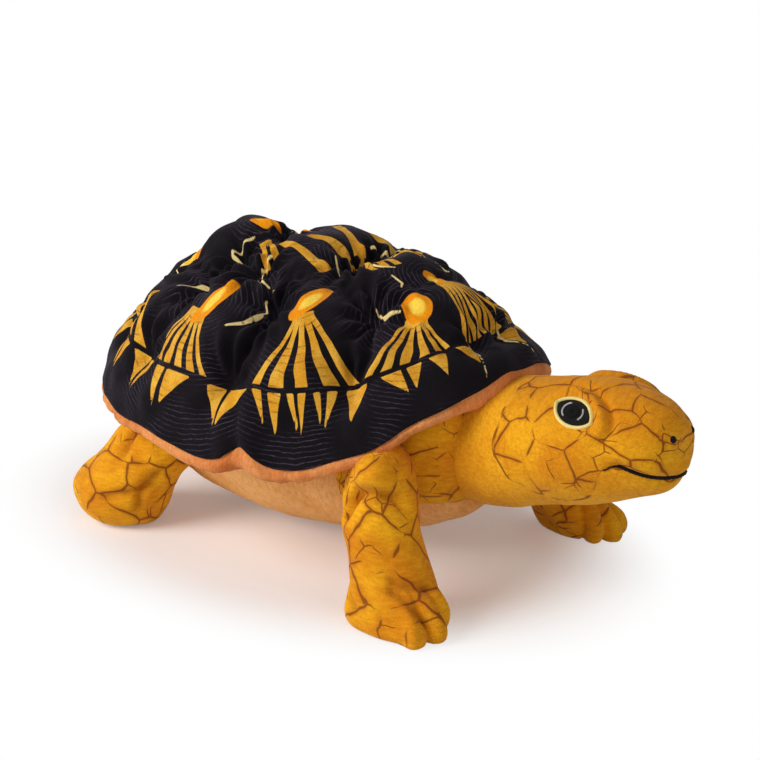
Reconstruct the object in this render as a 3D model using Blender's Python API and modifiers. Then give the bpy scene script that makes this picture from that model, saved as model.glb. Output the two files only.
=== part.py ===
# A plush tortoise: stuffed shell, body, neck, head, four legs and a tail.
# Metres. +X runs to the nose, +Z is up, and the soles stand on z = 0.
# Lengths along the body are measured from the back edge of the shell.

import math

import bpy
from mathutils import Matrix, Vector

# Fabric, stuffing and the gaps between sewn pieces
skin_thickness = 0.0012
cover_thickness = 0.0015
lining_thickness = 0.0012
sewn_gap = 0.0003
stuffing_ease = 0.0008
sole_flat_depth = 0.0005
overrun = 0.010
weld_distance = 0.00003

# Shell
shell_length = 0.231
shell_width = 0.170
shell_top_height = 0.141
rim_low_height = 0.060
rim_front_height = 0.106
lining_roll_depth = 0.003
lining_hollow_rise = 0.013

# Body
body_length = 0.190
body_back_setback = 0.029
body_width = 0.114
belly_height = 0.005
body_top_height = 0.104
chest_seam_height = 0.037
chest_seam_setback = 0.166
rump_seam_height = 0.030
rump_seam_setback = 0.049
rump_seam_slope = math.radians(42)

# Neck, measured back from the shell's front edge
neck_setback = 0.015
neck_joint_height = 0.064
neck_ball_radius = 0.030
neck_collar_reach = 0.010
neck_skin_turn = 118

# Head, measured forward from the neck joint
head_joint_step = 0.022
head_joint_height = 0.067
head_ball_ease = 0.0025
head_length = 0.075
head_width = 0.061
head_height = 0.056
head_rise = 0.019
crown_width = 0.020
jaw_seam_height = 0.0725

# Embroidery on the head
stitch_height = 0.0008
eye_length = 0.021
eye_width = 0.017
eye_reach = 0.032
eye_tilt = math.radians(41)
eye_turn = math.radians(8)
nostril_radius = 0.0016
nostril_spread = 0.0106
nostril_rise = 0.003
mouth_line_width = 0.0014
mouth_length = 0.027

# Front legs
front_hip_setback = 0.027
front_hip_inset = 0.006
front_hip_height = 0.056
front_hip_radius = 0.0185
front_leg_width = 0.034
front_foot_advance = 0.014
front_foot_spread = 0.136
front_foot_length = 0.050
front_foot_width = 0.031

# Rear legs
rear_hip_setback = 0.067
rear_hip_inset = 0.012
rear_hip_height = 0.043
rear_hip_radius = 0.0195
rear_leg_width = 0.042
rear_foot_advance = -0.024
rear_foot_spread = 0.116
rear_foot_length = 0.056
rear_foot_width = 0.046

hip_opening_radius = 0.007
leg_room_reach = 0.040

# Tail
tail_setback = 0.031
tail_height = 0.050
tail_ball_radius = 0.0075
tail_length = 0.028
tail_drop = 0.010

# Counts
body_points = 10
limb_points = 6
shell_points = 12
turned_steps = 20
arc_step = math.radians(15)

# Everything is placed from the middle of the whole length
neck_reach = shell_length - neck_setback
overall_length = neck_reach + head_joint_step + head_length + sewn_gap + stitch_height
back_edge = -overall_length / 2
shell_centre = Vector((back_edge + shell_length / 2, 0, 0))
neck_joint = Vector((back_edge + neck_reach, 0, neck_joint_height))
head_joint = Vector((neck_joint.x + head_joint_step, 0, head_joint_height))
neck_axis = (head_joint - neck_joint).normalized()
nose_x = head_joint.x + head_length
head_ball_radius = neck_ball_radius - head_ball_ease
front_hip_spread = body_width - 2 * front_hip_inset
rear_hip_spread = body_width - 2 * rear_hip_inset
tail_joint = Vector((back_edge + tail_setback, 0, tail_height))
level_side = Vector((0, 1, 0))
up = Vector((0, 0, 1))

# Skin and stuffing colours
skin_yellow = (0.73, 0.33, 0.02)
throat_yellow = (0.78, 0.40, 0.04)
belly_peach = (0.72, 0.38, 0.15)
lining_tan = (0.58, 0.22, 0.07)
shell_black = (0.018, 0.012, 0.020)
thread_cream = (0.88, 0.72, 0.32)
thread_black = (0.012, 0.010, 0.010)
thread_brown = (0.10, 0.05, 0.02)
stuffing_white = (0.85, 0.85, 0.83)
fabric_roughness = 0.9
thread_roughness = 0.55


# Collections, materials and small helpers

def clear_scene():
    for obj in list(bpy.data.objects):
        bpy.data.objects.remove(obj, do_unlink=True)
    for collection in list(bpy.data.collections):
        bpy.data.collections.remove(collection)


def add_collection(name):
    collection = bpy.data.collections.new(name)
    bpy.context.scene.collection.children.link(collection)
    return collection


def fabric(name, colour, roughness=fabric_roughness):
    material = bpy.data.materials.get(name)
    if material is None:
        material = bpy.data.materials.new(name)
        material.use_nodes = True
        shader = material.node_tree.nodes["Principled BSDF"]
        shader.inputs["Base Color"].default_value = (*colour, 1)
        shader.inputs["Roughness"].default_value = roughness
        shader.inputs["Metallic"].default_value = 0
    return material


def add_empty(name, place, parent=None):
    empty = bpy.data.objects.new(name, None)
    empty.matrix_world = Matrix.Translation(place)
    parts.objects.link(empty)
    if parent is not None:
        empty.parent = parent
        empty.matrix_parent_inverse = parent.matrix_world.inverted()
    return empty


def add_part(name, mesh, material, parent):
    """A piece whose mesh holds world places, hung on the empty of its joint."""
    obj = bpy.data.objects.new(name, mesh.copy())
    obj.data.name = name
    obj.data.materials.clear()
    obj.data.materials.append(material)
    obj.data.transform(parent.matrix_world.inverted())
    parts.objects.link(obj)
    obj.parent = parent
    obj.data.shade_smooth()
    return obj


def add_stuffing(name, cage, skin, parent):
    mesh = stuffing_mesh(cage, skin + stuffing_ease)
    return add_part(name, mesh, fabric("Stuffing", stuffing_white), parent)


def add_cutter(name, mesh):
    obj = bpy.data.objects.new(name, mesh)
    cutters.objects.link(obj)
    obj.hide_render = True
    obj.display_type = "WIRE"
    return obj


def subdivide(obj, levels=1):
    modifier = obj.modifiers.new("Soft form", "SUBSURF")
    modifier.levels = levels
    modifier.render_levels = levels


def swell(obj, distance):
    modifier = obj.modifiers.new("Swell", "DISPLACE")
    modifier.strength = distance
    modifier.mid_level = 0


def thicken(obj, thickness, outward=False):
    modifier = obj.modifiers.new("Fabric", "SOLIDIFY")
    modifier.thickness = thickness
    modifier.offset = 1 if outward else -1
    modifier.use_even_offset = True


def carve(obj, cutter, operation="DIFFERENCE"):
    modifier = obj.modifiers.new(operation.title() + " " + cutter.name, "BOOLEAN")
    modifier.operation = operation
    modifier.object = cutter


def weld(obj):
    """Joins the corners that a row of cuts leaves almost on each other, before the next cut."""
    modifier = obj.modifiers.new("Weld", "WELD")
    modifier.merge_threshold = weld_distance


# Cages: rings of points joined into a loft, which Subdivision Surface rounds

def cage_growth(points):
    """How far a ring's points lie outside the round form that they make."""
    return 6 / (4 + 2 * math.cos(math.tau / points))


def ring(centre, side, rise, half_side, half_rise, points):
    """An oval that runs from side towards rise, let out for the form that it rounds to."""
    growth = cage_growth(points)
    places = []
    for index in range(points):
        angle = math.tau * index / points
        across = side * (growth * half_side * math.cos(angle))
        places.append(centre + across + rise * (growth * half_rise * math.sin(angle)))
    return places


def ball_rings(centre, axis, side, rise, radius, angles, points):
    """The back of a ball, whose cage lies on it, so that its rounded form stays inside."""
    rings = []
    for angle in angles:
        middle = centre - axis * (radius * math.cos(angle))
        half = radius * math.sin(angle) / cage_growth(points)
        rings.append(ring(middle, side, rise, half, half, points))
    return rings


def loft(name, rings, closed_start=True, closed_end=True):
    """Rings turn to the right seen along the loft, so that its faces point out."""
    count = len(rings[0])
    places = [place for one_ring in rings for place in one_ring]
    faces = []
    for row in range(len(rings) - 1):
        for index in range(count):
            following = (index + 1) % count
            low, high = row * count, (row + 1) * count
            faces.append((low + index, low + following, high + following, high + index))
    if closed_start:
        faces.append(tuple(reversed(range(count))))
    if closed_end:
        faces.append(tuple(range(len(places) - count, len(places))))
    mesh = bpy.data.meshes.new(name)
    mesh.from_pydata(places, [], faces)
    mesh.update()
    return mesh


def rounded_places(cage):
    """The corners of the form that a cage rounds to; the cage's own corners come first."""
    obj = bpy.data.objects.new(cage.name, cage.copy())
    cutters.objects.link(obj)
    subdivide(obj)
    bpy.context.view_layer.update()
    rounded = obj.evaluated_get(bpy.context.evaluated_depsgraph_get()).to_mesh()
    places = [corner.co.copy() for corner in rounded.vertices]
    bpy.data.objects.remove(obj)
    return places


def stuffing_mesh(cage, inset):
    """The cage's own faces, its corners brought onto the form that it rounds to, then drawn in."""
    mesh = cage.copy()
    for corner, place in zip(mesh.vertices, rounded_places(cage)):
        corner.co = place
    mesh.update()
    normals = [corner.normal.copy() for corner in mesh.vertices]
    for corner, normal in zip(mesh.vertices, normals):
        corner.co -= normal * inset
    return mesh


def socket_radius(ball_radius):
    """The flats of a turned socket stay clear of the ball that turns in it."""
    return (ball_radius + sewn_gap) / (math.cos(math.pi / turned_steps) * math.cos(arc_step / 2))


def arc(radius, first, last, middle=0):
    """Points (outward, along) of an arc whose angles are taken from its axis."""
    places = []
    steps = math.ceil(abs(last - first) / arc_step)
    for step in range(steps + 1):
        angle = first + (last - first) * step / steps
        places.append((radius * math.sin(angle), middle + radius * math.cos(angle)))
    return places


def turned_mesh(name, profile, centre, axis):
    """A closed form turned about an axis; its profile runs down the outer side, top first."""
    mesh = bpy.data.meshes.new(name)
    edges = [(index, index + 1) for index in range(len(profile) - 1)]
    mesh.from_pydata([(radius, 0, along) for radius, along in profile], edges, [])
    obj = bpy.data.objects.new(name, mesh)
    cutters.objects.link(obj)
    screw = obj.modifiers.new("Turn", "SCREW")
    screw.steps = screw.render_steps = turned_steps
    screw.use_merge_vertices = True
    screw.merge_threshold = weld_distance
    bpy.context.view_layer.update()
    turned = bpy.data.meshes.new_from_object(obj.evaluated_get(bpy.context.evaluated_depsgraph_get()))
    bpy.data.objects.remove(obj)
    turned.transform(Matrix.Translation(centre) @ axis.to_track_quat("Z", "Y").to_matrix().to_4x4())
    return turned


def ball_cutter(name, centre, radius, axis=Vector((1, 0, 0))):
    return add_cutter(name, turned_mesh(name, arc(radius, 0, math.pi), centre, axis))


def box_cutter(name, low, high, turn=None):
    bpy.ops.mesh.primitive_cube_add(size=1)
    box = bpy.context.object
    mesh = box.data
    size = [top - bottom for bottom, top in zip(low, high)]
    middle = Vector([(top + bottom) / 2 for bottom, top in zip(low, high)])
    mesh.transform(Matrix.Diagonal((*size, 1)))
    mesh.transform(Matrix.Translation(middle))
    if turn is not None:
        mesh.transform(turn)
    bpy.data.objects.remove(box)
    return add_cutter(name, mesh)


def disc_cutter(name, centre, direction, half_length, half_width, depth):
    """An oval rod whose long side lies level, centred on a place and run along a direction."""
    bpy.ops.mesh.primitive_cylinder_add(vertices=turned_steps, radius=1, depth=1)
    rod = bpy.context.object
    mesh = rod.data
    mesh.transform(Matrix.Diagonal((half_length, half_width, depth, 1)))
    level = Vector((0, 0, 1)).cross(direction).normalized()
    upright = direction.cross(level)
    frame = Matrix((level, upright, direction)).transposed().to_4x4()
    mesh.transform(Matrix.Translation(centre) @ frame)
    bpy.data.objects.remove(rod)
    return add_cutter(name, mesh)


# Shell: a stuffed dome with a printed cover and a lining that rolls under the rim

rim_height_shares = [1.00, 0.61, -0.09, 0.02, -0.02, 0.11, 0.43]
dome_ring_shares = [(1.0, 0.0), (0.97, 0.15), (0.86, 0.38), (0.68, 0.66), (0.42, 0.90), (0.16, 1.0)]
lining_rise_shares = [(0.14, 1.0), (0.45, 0.80), (0.72, 0.35)]
lining_roll_share = 0.90
lining_edge_share = 0.974
front_plan_power = 2.1
back_plan_power = 2


def rim_height(index):
    turn = min(index, shell_points - index)
    return rim_low_height + rim_height_shares[turn] * (rim_front_height - rim_low_height)


def plan_place(index, share):
    angle = math.tau * index / shell_points
    cosine, sine = math.cos(angle), math.sin(angle)
    power = front_plan_power if cosine > 0 else back_plan_power
    growth = share * cage_growth(shell_points)
    x = math.copysign(abs(cosine) ** (2 / power), cosine) * shell_length / 2
    y = math.copysign(abs(sine) ** (2 / power), sine) * shell_width / 2
    return shell_centre.x + x * growth, y * growth


def dome_rings():
    rings = []
    for plan_share, rise_share in dome_ring_shares:
        places = []
        for index in range(shell_points):
            low = rim_height(index)
            height = low + rise_share * (shell_top_height - low)
            places.append(Vector((*plan_place(index, plan_share), height)))
        rings.append(places)
    return rings


def lining_rings():
    """The underside, from its hollow middle out to the rolled edge inside the cover's rim."""
    mean_height = sum(rim_height(index) for index in range(shell_points)) / shell_points
    lifts = [(share, rise * lining_hollow_rise) for share, rise in lining_rise_shares]
    lifts += [(lining_roll_share, -lining_roll_depth), (lining_edge_share, 0)]
    rings = []
    for plan_share, lift in lifts:
        places = []
        for index in range(shell_points):
            level = mean_height + (rim_height(index) - mean_height) * plan_share
            places.append(Vector((*plan_place(index, plan_share), level + lift)))
        rings.append(places)
    return rings


def shell_space(name, cage, clearance):
    """The room that the shell takes out of the body, with a layer of clearance round it."""
    space = add_cutter(name, cage.copy())
    subdivide(space)
    swell(space, clearance)
    return space


def build_shell():
    dome = loft("dome_cage", dome_rings(), closed_start=False)
    cover = add_part("carapace_cover", dome, fabric("Printed velboa", shell_black), root)
    subdivide(cover)
    thicken(cover, cover_thickness)

    lining = loft("lining_cage", lining_rings(), closed_end=False)
    underside = add_part("shell_underside", lining, fabric("Tan velour", lining_tan), root)
    subdivide(underside)
    thicken(underside, lining_thickness)

    closed = loft("shell_cage", lining_rings() + dome_rings())
    filling = add_part("shell_filling", closed, fabric("Stuffing", stuffing_white), root)
    subdivide(filling)
    swell(filling, -(cover_thickness + stuffing_ease))
    return closed


# Body: sides and chest of the printed yellow fabric over a peach belly panel

body_ring_shares = [
    (0.00, 0.28, 0.32, 0.62),
    (0.07, 0.62, 0.10, 0.84),
    (0.24, 0.88, 0.00, 1.00),
    (0.52, 1.00, 0.00, 1.00),
    (0.76, 0.82, 0.08, 1.00),
    (0.92, 0.70, 0.20, 0.99),
    (1.00, 0.56, 0.31, 0.92),
]


def body_rings():
    """Each ring's shares: along the body, across it, and the heights of its low and high side."""
    start = back_edge + body_back_setback
    span = body_top_height - belly_height
    rings = []
    for along, across, low, high in body_ring_shares:
        bottom, top = belly_height + low * span, belly_height + high * span
        centre = Vector((start + along * body_length, 0, (bottom + top) / 2))
        rings.append(ring(centre, level_side, up, across * body_width / 2, (top - bottom) / 2, body_points))
    return rings


def body_hollows(layer, shell_cage):
    """What the limbs, the neck, the tail and the shell take out of the body, and a layer round it."""
    hollows = [shell_space("shell_space_" + layer[0], shell_cage, sewn_gap + layer[1])]
    for label, hip, side, places in leg_rooms:
        hollows.append(leg_socket(label + "_socket_" + layer[0], hip, side, places, layer[1]))
    hollows.append(ball_cutter("tail_socket_" + layer[0], tail_joint,
                               socket_radius(tail_ball_radius) + layer[1]))
    hollows.append(ball_cutter("neck_socket_" + layer[0], neck_joint,
                               socket_radius(neck_ball_radius) + layer[1], neck_axis))
    return hollows


def chest_block(name, clearance):
    """The space of the chest: ahead of the bridge of the belly panel and over its front."""
    reach = overall_length
    low = (back_edge + chest_seam_setback - clearance, -reach, chest_seam_height - clearance)
    return box_cutter(name, low, (reach, reach, reach))


def rump_block(name, clearance):
    """The space behind the belly panel, whose end slants up to the back."""
    reach = overall_length
    place = Vector((back_edge + rump_seam_setback, 0, rump_seam_height))
    turn = Matrix.Translation(place) @ Matrix.Rotation(rump_seam_slope, 4, "Y")
    return box_cutter(name, (-reach, -reach, -reach), (reach, reach, clearance), turn)


def build_body(shell_cage):
    cage = loft("body_cage", body_rings())
    outer_hollows = body_hollows(("outside", 0), shell_cage)
    inside = add_cutter("body_inside", cage.copy())
    subdivide(inside)
    swell(inside, -skin_thickness)
    for hollow in body_hollows(("lining", skin_thickness), shell_cage):
        carve(inside, hollow)
    weld(inside)

    print_yellow = fabric("Crackle print", skin_yellow)
    panels = (
        ("chest_skin", print_yellow, ((chest_block("chest", 0), "INTERSECT"),)),
        ("rump_skin", print_yellow, ((rump_block("rump", 0), "INTERSECT"),)),
        ("plastron_panel", fabric("Peach velour", belly_peach),
         ((chest_block("chest_clear", sewn_gap), "DIFFERENCE"),
          (rump_block("rump_clear", sewn_gap), "DIFFERENCE"))),
    )
    for name, material, seams in panels:
        piece = add_part(name, cage, material, root)
        subdivide(piece)
        for hollow in outer_hollows:
            carve(piece, hollow)
        for block, operation in seams:
            carve(piece, block, operation)
        weld(piece)
        carve(piece, inside)

    filling = add_stuffing("body_filling", cage, skin_thickness, root)
    for hollow in body_hollows(("stuffing", skin_thickness + stuffing_ease), shell_cage):
        carve(filling, hollow)


# Neck: the back of the stuffed bulb, a cup that turns in the chest and carries the head

def collar_angle(radius):
    """Where the collar's plane meets a ball about the neck joint, from the neck's axis."""
    return math.acos(neck_collar_reach / radius)


def build_neck():
    outer = neck_ball_radius
    inner = outer - skin_thickness
    core = inner - sewn_gap
    last = math.radians(neck_skin_turn)
    skin_profile = arc(outer, collar_angle(outer), last) + arc(inner, last, collar_angle(inner))
    skin_profile.append(skin_profile[0])
    skin_mesh = turned_mesh("neck_skin", skin_profile, neck_joint, neck_axis)
    add_part("neck_skin", skin_mesh, fabric("Crackle print", skin_yellow), neck)

    joint_step = (head_joint - neck_joint).length
    cup = socket_radius(head_ball_radius)
    cup_first = math.pi - math.acos((joint_step - neck_collar_reach) / cup)
    core_profile = arc(cup, math.pi, cup_first, joint_step) + arc(core, collar_angle(core), math.pi)
    core_mesh = turned_mesh("neck_filling", core_profile, neck_joint, neck_axis)
    add_part("neck_filling", core_mesh, fabric("Stuffing", stuffing_white), neck)


# Head: a bulb that swells to the cheeks and narrows to a blunt snout

head_ball_angles = [math.radians(angle) for angle in (22, 50, 76)]
head_ring_shares = [
    (0.16, 0.20, 0.95, 0.97),
    (0.36, 0.46, 1.00, 1.00),
    (0.56, 0.68, 0.93, 0.98),
    (0.76, 0.80, 0.77, 0.85),
    (0.92, 0.90, 0.54, 0.62),
    (0.985, 0.96, 0.28, 0.34),
]


def head_rings():
    """The ball behind the joint, then shares along the head, of its rise, width and height."""
    rings = ball_rings(head_joint, Vector((1, 0, 0)), level_side, up, head_ball_radius,
                       head_ball_angles, body_points)
    for along, lift, wide, high in head_ring_shares:
        centre = head_joint + Vector((along * head_length, 0, lift * head_rise))
        rings.append(ring(centre, level_side, up, wide * head_width / 2, high * head_height / 2,
                          body_points))
    rings.append([Vector((nose_x, place.y, place.z)) for place in rings[-1]])
    return rings


def build_head_panels(cage):
    half_crown = crown_width / 2
    reach = overall_length
    crown = box_cutter("crown_strip", (-reach, -half_crown, jaw_seam_height), (reach, half_crown, reach))
    beside = box_cutter("crown_clear", (-reach, -half_crown - sewn_gap, -reach),
                        (reach, half_crown + sewn_gap, reach))
    jaw = box_cutter("jaw_wedge", (-reach, -reach, -reach), (reach, reach, jaw_seam_height - sewn_gap))
    jaw_clear = box_cutter("jaw_clear", (-reach, -reach, -reach), (reach, reach, jaw_seam_height))
    print_yellow = fabric("Crackle print", skin_yellow)

    def panel(name, material):
        piece = add_part(name, cage, material, head)
        subdivide(piece)
        thicken(piece, skin_thickness)
        return piece

    carve(panel("head_crown", print_yellow), crown, "INTERSECT")
    carve(panel("jaw_panel", fabric("Throat velour", throat_yellow)), jaw, "INTERSECT")
    for name, side in (("right", -1), ("left", 1)):
        far_low, far_high = sorted((0, -side * reach))
        other = box_cutter("other_side_" + name, (-reach, far_low, -reach), (reach, far_high, reach))
        piece = panel("head_side_" + name, print_yellow)
        for cutter in (beside, jaw_clear, other):
            carve(piece, cutter)


def stitched_patch(name, cage, colour, keep, remove=None):
    """Embroidery follows the skin that it is sewn on, a stitch proud of it."""
    patch = add_part(name, cage, fabric(name.rsplit("_", 1)[0] + " thread", colour, thread_roughness), head)
    subdivide(patch)
    swell(patch, sewn_gap)
    thicken(patch, stitch_height, outward=True)
    carve(patch, keep, "INTERSECT")
    if remove is not None:
        carve(patch, remove)


eye_hole_share = 0.76
iris_share = 0.73
pupil_hole_share = 0.42
pupil_share = 0.38


def build_face(cage):
    for name, side in (("right", -1), ("left", 1)):
        outward = Vector((math.sin(eye_turn), side * math.cos(eye_turn), math.tan(eye_tilt))).normalized()
        rise = head_rise * eye_reach / head_length
        centre = Vector((head_joint.x + eye_reach, 0, head_joint_height + rise))
        place = centre + outward * head_width / 2

        def disc(part, share):
            return disc_cutter(part + "_" + name, place, outward, share * eye_length / 2,
                               share * eye_width / 2, head_width / 2)

        stitched_patch("eye_ring_" + name, cage, thread_cream, disc("eye_edge", 1),
                       disc("eye_hole", eye_hole_share))
        stitched_patch("eye_iris_" + name, cage, thread_brown, disc("iris_edge", iris_share),
                       disc("pupil_hole", pupil_hole_share))
        stitched_patch("eye_pupil_" + name, cage, thread_black, disc("pupil_edge", pupil_share))

        nostril = Vector((nose_x, side * nostril_spread / 2, head_joint_height + head_rise + nostril_rise))
        stitched_patch("nostril_" + name, cage, thread_black,
                       disc_cutter("nostril_edge_" + name, nostril, Vector((1, 0, 0)), nostril_radius,
                                   nostril_radius, overrun))
    half_line = mouth_line_width / 2
    slab = box_cutter("mouth_slab", (nose_x - mouth_length, -head_width, jaw_seam_height - half_line),
                      (nose_x + overrun, head_width, jaw_seam_height + half_line))
    stitched_patch("mouth_line", cage, thread_brown, slab)


def build_head():
    add_stuffing("head_filling", loft("head_closed_cage", head_rings()), skin_thickness, head)
    open_cage = loft("head_cage", head_rings(), closed_start=False)
    build_head_panels(open_cage)
    build_face(open_cage)


# Legs: a round top that turns in the body's side, a swelling limb and a blunt flat-soled foot

front_leg_shares = [
    (0.52, 0.46, 1.00, 0.92, 0.0),
    (0.76, 0.76, 1.06, 0.98, 0.0),
    (0.93, 1.00, 0.0, 0.0, 0.96),
]
front_sole_shares = [0.78, 0.52]
rear_leg_shares = [
    (0.36, 0.80, 1.14, 1.06, 0.0),
    (0.66, 1.08, 0.0, 0.0, 1.00),
    (0.93, 1.02, 0.0, 0.0, 0.76),
]
rear_sole_shares = [0.56, 0.34]
leg_ball_angles = [math.radians(angle) for angle in (26, 62, 96)]
leg_room_slopes = [math.radians(angle) for angle in (0, 12, 24, 38, 54)]


def leg_rings(hip, foot, ball_radius, width, foot_length, foot_width, limb_shares, sole_shares):
    """Limb shares: down, out to the foot, and of the limb's width or, lower, of the foot's size."""
    axis = (foot - hip).normalized()
    ahead = (Vector((1, 0, 0)) - axis * axis.x).normalized()
    rings = ball_rings(hip, axis, ahead, axis.cross(ahead), ball_radius, leg_ball_angles, limb_points)
    for down, out, limb_wide, limb_deep, foot_share in limb_shares:
        centre = hip.lerp(foot, out)
        centre.z = hip.z * (1 - down)
        half_side = (limb_wide * width + foot_share * foot_length) / 2
        half_rise = (limb_deep * width + foot_share * foot_width) / 2
        rings.append(ring(centre, Vector((1, 0, 0)), -level_side, half_side, half_rise, limb_points))
    for share in sole_shares:
        centre = Vector((foot.x, foot.y, -sole_flat_depth))
        rings.append(ring(centre, Vector((1, 0, 0)), -level_side, share * foot_length / 2,
                          share * foot_width / 2, limb_points))
    return rings


def leg_socket(name, hip, side, places, layer):
    """Room in the body for a leg's swing: flats at a row of slopes that just clear its corners."""
    inner_side = []
    for place in places:
        out = math.hypot(place.x - hip.x, place.z - hip.z)
        if out < leg_room_reach:
            inner_side.append((out, side * (place.y - hip.y)))
    flats = []
    for angle in leg_room_slopes:
        slope = math.tan(angle)
        level = min(along - slope * out for out, along in inner_side)
        flats.append((slope, level - (sewn_gap + layer) / math.cos(angle)))
    reach = leg_room_reach + layer
    profile = [(0, flats[0][1])]
    for (slope, level), (next_slope, next_level) in zip(flats, flats[1:]):
        out = (level - next_level) / (next_slope - slope)
        if profile[-1][0] < out < reach:
            profile.append((out / math.cos(math.pi / turned_steps), level + slope * out))
            last_slope, last_level = next_slope, next_level
    profile += [(reach, last_level + last_slope * reach), (reach, body_width), (0, body_width)]
    return add_cutter(name, turned_mesh(name, profile[::-1], hip, level_side * side))


def build_leg(name, side, hip, foot, ball_radius, *sizes_and_shares):
    leg = add_empty(name, hip, root)
    cage = loft(name + "_cage", leg_rings(hip, foot, ball_radius, *sizes_and_shares))
    inner = add_cutter(name + "_inside", cage.copy())
    subdivide(inner)
    swell(inner, -skin_thickness)
    low, high = sorted((hip.y, hip.y - side * (ball_radius + overrun)))
    opening = disc_cutter(name + "_opening", Vector((hip.x, (low + high) / 2, hip.z)),
                          -side * level_side, hip_opening_radius, hip_opening_radius, high - low)
    carve(inner, opening, "UNION")
    reach = overall_length
    floor = box_cutter(name + "_floor", (-reach, -reach, -reach), (reach, reach, 0))

    skin = add_part(name + "_skin", cage, fabric("Crackle print", skin_yellow), leg)
    subdivide(skin)
    for cutter in (floor, inner):
        carve(skin, cutter)
    add_stuffing(name + "_filling", cage, skin_thickness, leg)
    return cage


def build_legs():
    """Makes the legs, and gives the room that each one needs in the body."""
    rooms = []
    rows = (
        ("front", shell_length - front_hip_setback, front_hip_spread, front_hip_height,
         front_foot_advance, front_foot_spread, front_hip_radius, front_leg_width,
         front_foot_length, front_foot_width, front_leg_shares, front_sole_shares),
        ("rear", rear_hip_setback, rear_hip_spread, rear_hip_height,
         rear_foot_advance, rear_foot_spread, rear_hip_radius, rear_leg_width,
         rear_foot_length, rear_foot_width, rear_leg_shares, rear_sole_shares),
    )
    for row, along, spread, height, advance, foot_spread, radius, *sizes_and_shares in rows:
        for name, side in (("right", -1), ("left", 1)):
            hip = Vector((back_edge + along, side * spread / 2, height))
            foot = Vector((hip.x + advance, side * foot_spread / 2, 0))
            label = row + "_" + name + "_leg"
            cage = build_leg(label, side, hip, foot, radius, *sizes_and_shares)
            rooms.append((label, hip, side, rounded_places(cage)))
    return rooms


# Tail: a short stuffed cone under the back of the shell

tail_ring_shares = [(0.30, 0.90), (0.75, 0.55), (1.0, 0.20)]
tail_ball_angles = [math.radians(angle) for angle in (34, 80)]


def tail_rings():
    axis = Vector((-tail_length, 0, -tail_drop)).normalized()
    rise = axis.cross(level_side)
    rings = ball_rings(tail_joint, axis, level_side, rise, tail_ball_radius, tail_ball_angles, limb_points)
    for along, wide in tail_ring_shares:
        centre = tail_joint + axis * along * tail_length
        rings.append(ring(centre, level_side, rise, wide * tail_ball_radius, wide * tail_ball_radius,
                          limb_points))
    return rings


def build_tail():
    skin = add_part("tail_skin", loft("tail_cage", tail_rings(), closed_start=False),
                    fabric("Crackle print", skin_yellow), tail)
    subdivide(skin)
    thicken(skin, skin_thickness)
    add_stuffing("tail_filling", loft("tail_closed_cage", tail_rings()), skin_thickness, tail)


clear_scene()
parts = add_collection("Plush tortoise")
cutters = add_collection("Cutters")
root = add_empty("root", Vector((0, 0, 0)))
neck = add_empty("neck", neck_joint, root)
head = add_empty("head", head_joint, neck)
tail = add_empty("tail", tail_joint, root)

leg_rooms = build_legs()
build_tail()
build_body(build_shell())
build_neck()
build_head()
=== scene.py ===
import math

import bmesh
import bpy
import numpy as np
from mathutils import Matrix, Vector
from mathutils.bvhtree import BVHTree


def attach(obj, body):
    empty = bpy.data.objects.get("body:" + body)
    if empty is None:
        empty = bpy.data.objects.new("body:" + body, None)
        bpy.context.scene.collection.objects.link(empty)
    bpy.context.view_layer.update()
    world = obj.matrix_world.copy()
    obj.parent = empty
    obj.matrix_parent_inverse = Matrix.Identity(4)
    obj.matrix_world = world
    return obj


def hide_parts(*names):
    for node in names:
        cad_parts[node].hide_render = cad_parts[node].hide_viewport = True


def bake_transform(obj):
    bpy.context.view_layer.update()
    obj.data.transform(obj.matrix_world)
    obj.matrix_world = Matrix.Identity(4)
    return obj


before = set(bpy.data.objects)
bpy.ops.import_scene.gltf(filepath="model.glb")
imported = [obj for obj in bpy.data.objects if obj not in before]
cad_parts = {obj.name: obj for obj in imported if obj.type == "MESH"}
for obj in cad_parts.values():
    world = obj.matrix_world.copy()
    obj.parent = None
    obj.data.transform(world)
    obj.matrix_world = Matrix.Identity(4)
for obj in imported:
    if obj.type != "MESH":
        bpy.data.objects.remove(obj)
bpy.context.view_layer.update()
mm = 0.001
alongX, alongY, alongZ = np.eye(3)
print("frame loaded:", len(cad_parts), "nodes")

# nodes


def addNode(tree, kind, inputs=None, **settings):
    # a node with its inputs set, or linked where the value is a node or a socket
    made = tree.nodes.new("ShaderNode" + kind)
    for name, value in settings.items():
        setattr(made, name, value)
    for key, value in (inputs or {}).items():
        if isinstance(value, bpy.types.Node):
            value = value.outputs[0]
        if isinstance(value, bpy.types.NodeSocket):
            tree.links.new(value, made.inputs[key])
        else:
            made.inputs[key].default_value = value
    return made


def treeOf(values):
    return next(value.id_data for value in values if isinstance(value, bpy.types.NodeSocket))


def maths(operation, *values, **settings):
    inputs = dict(enumerate(values))
    return addNode(treeOf(values), "Math", inputs, operation=operation, **settings).outputs[0]


def times(*values):
    return maths("MULTIPLY", *values)


def timesPlus(*values):
    return maths("MULTIPLY_ADD", *values)


def vectors(operation, *values):
    made = addNode(treeOf(values), "VectorMath", dict(enumerate(values)), operation=operation)
    return made.outputs["Value" if operation == "LENGTH" else "Vector"]


def between(value, low, high, start=0.0, end=1.0, kind="SMOOTHSTEP"):
    # value from low..high brought to start..end
    inputs = {0: value, 1: low, 2: high, 3: start, 4: end}
    return addNode(value.id_data, "MapRange", inputs, interpolation_type=kind, clamp=True).outputs[0]


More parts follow.
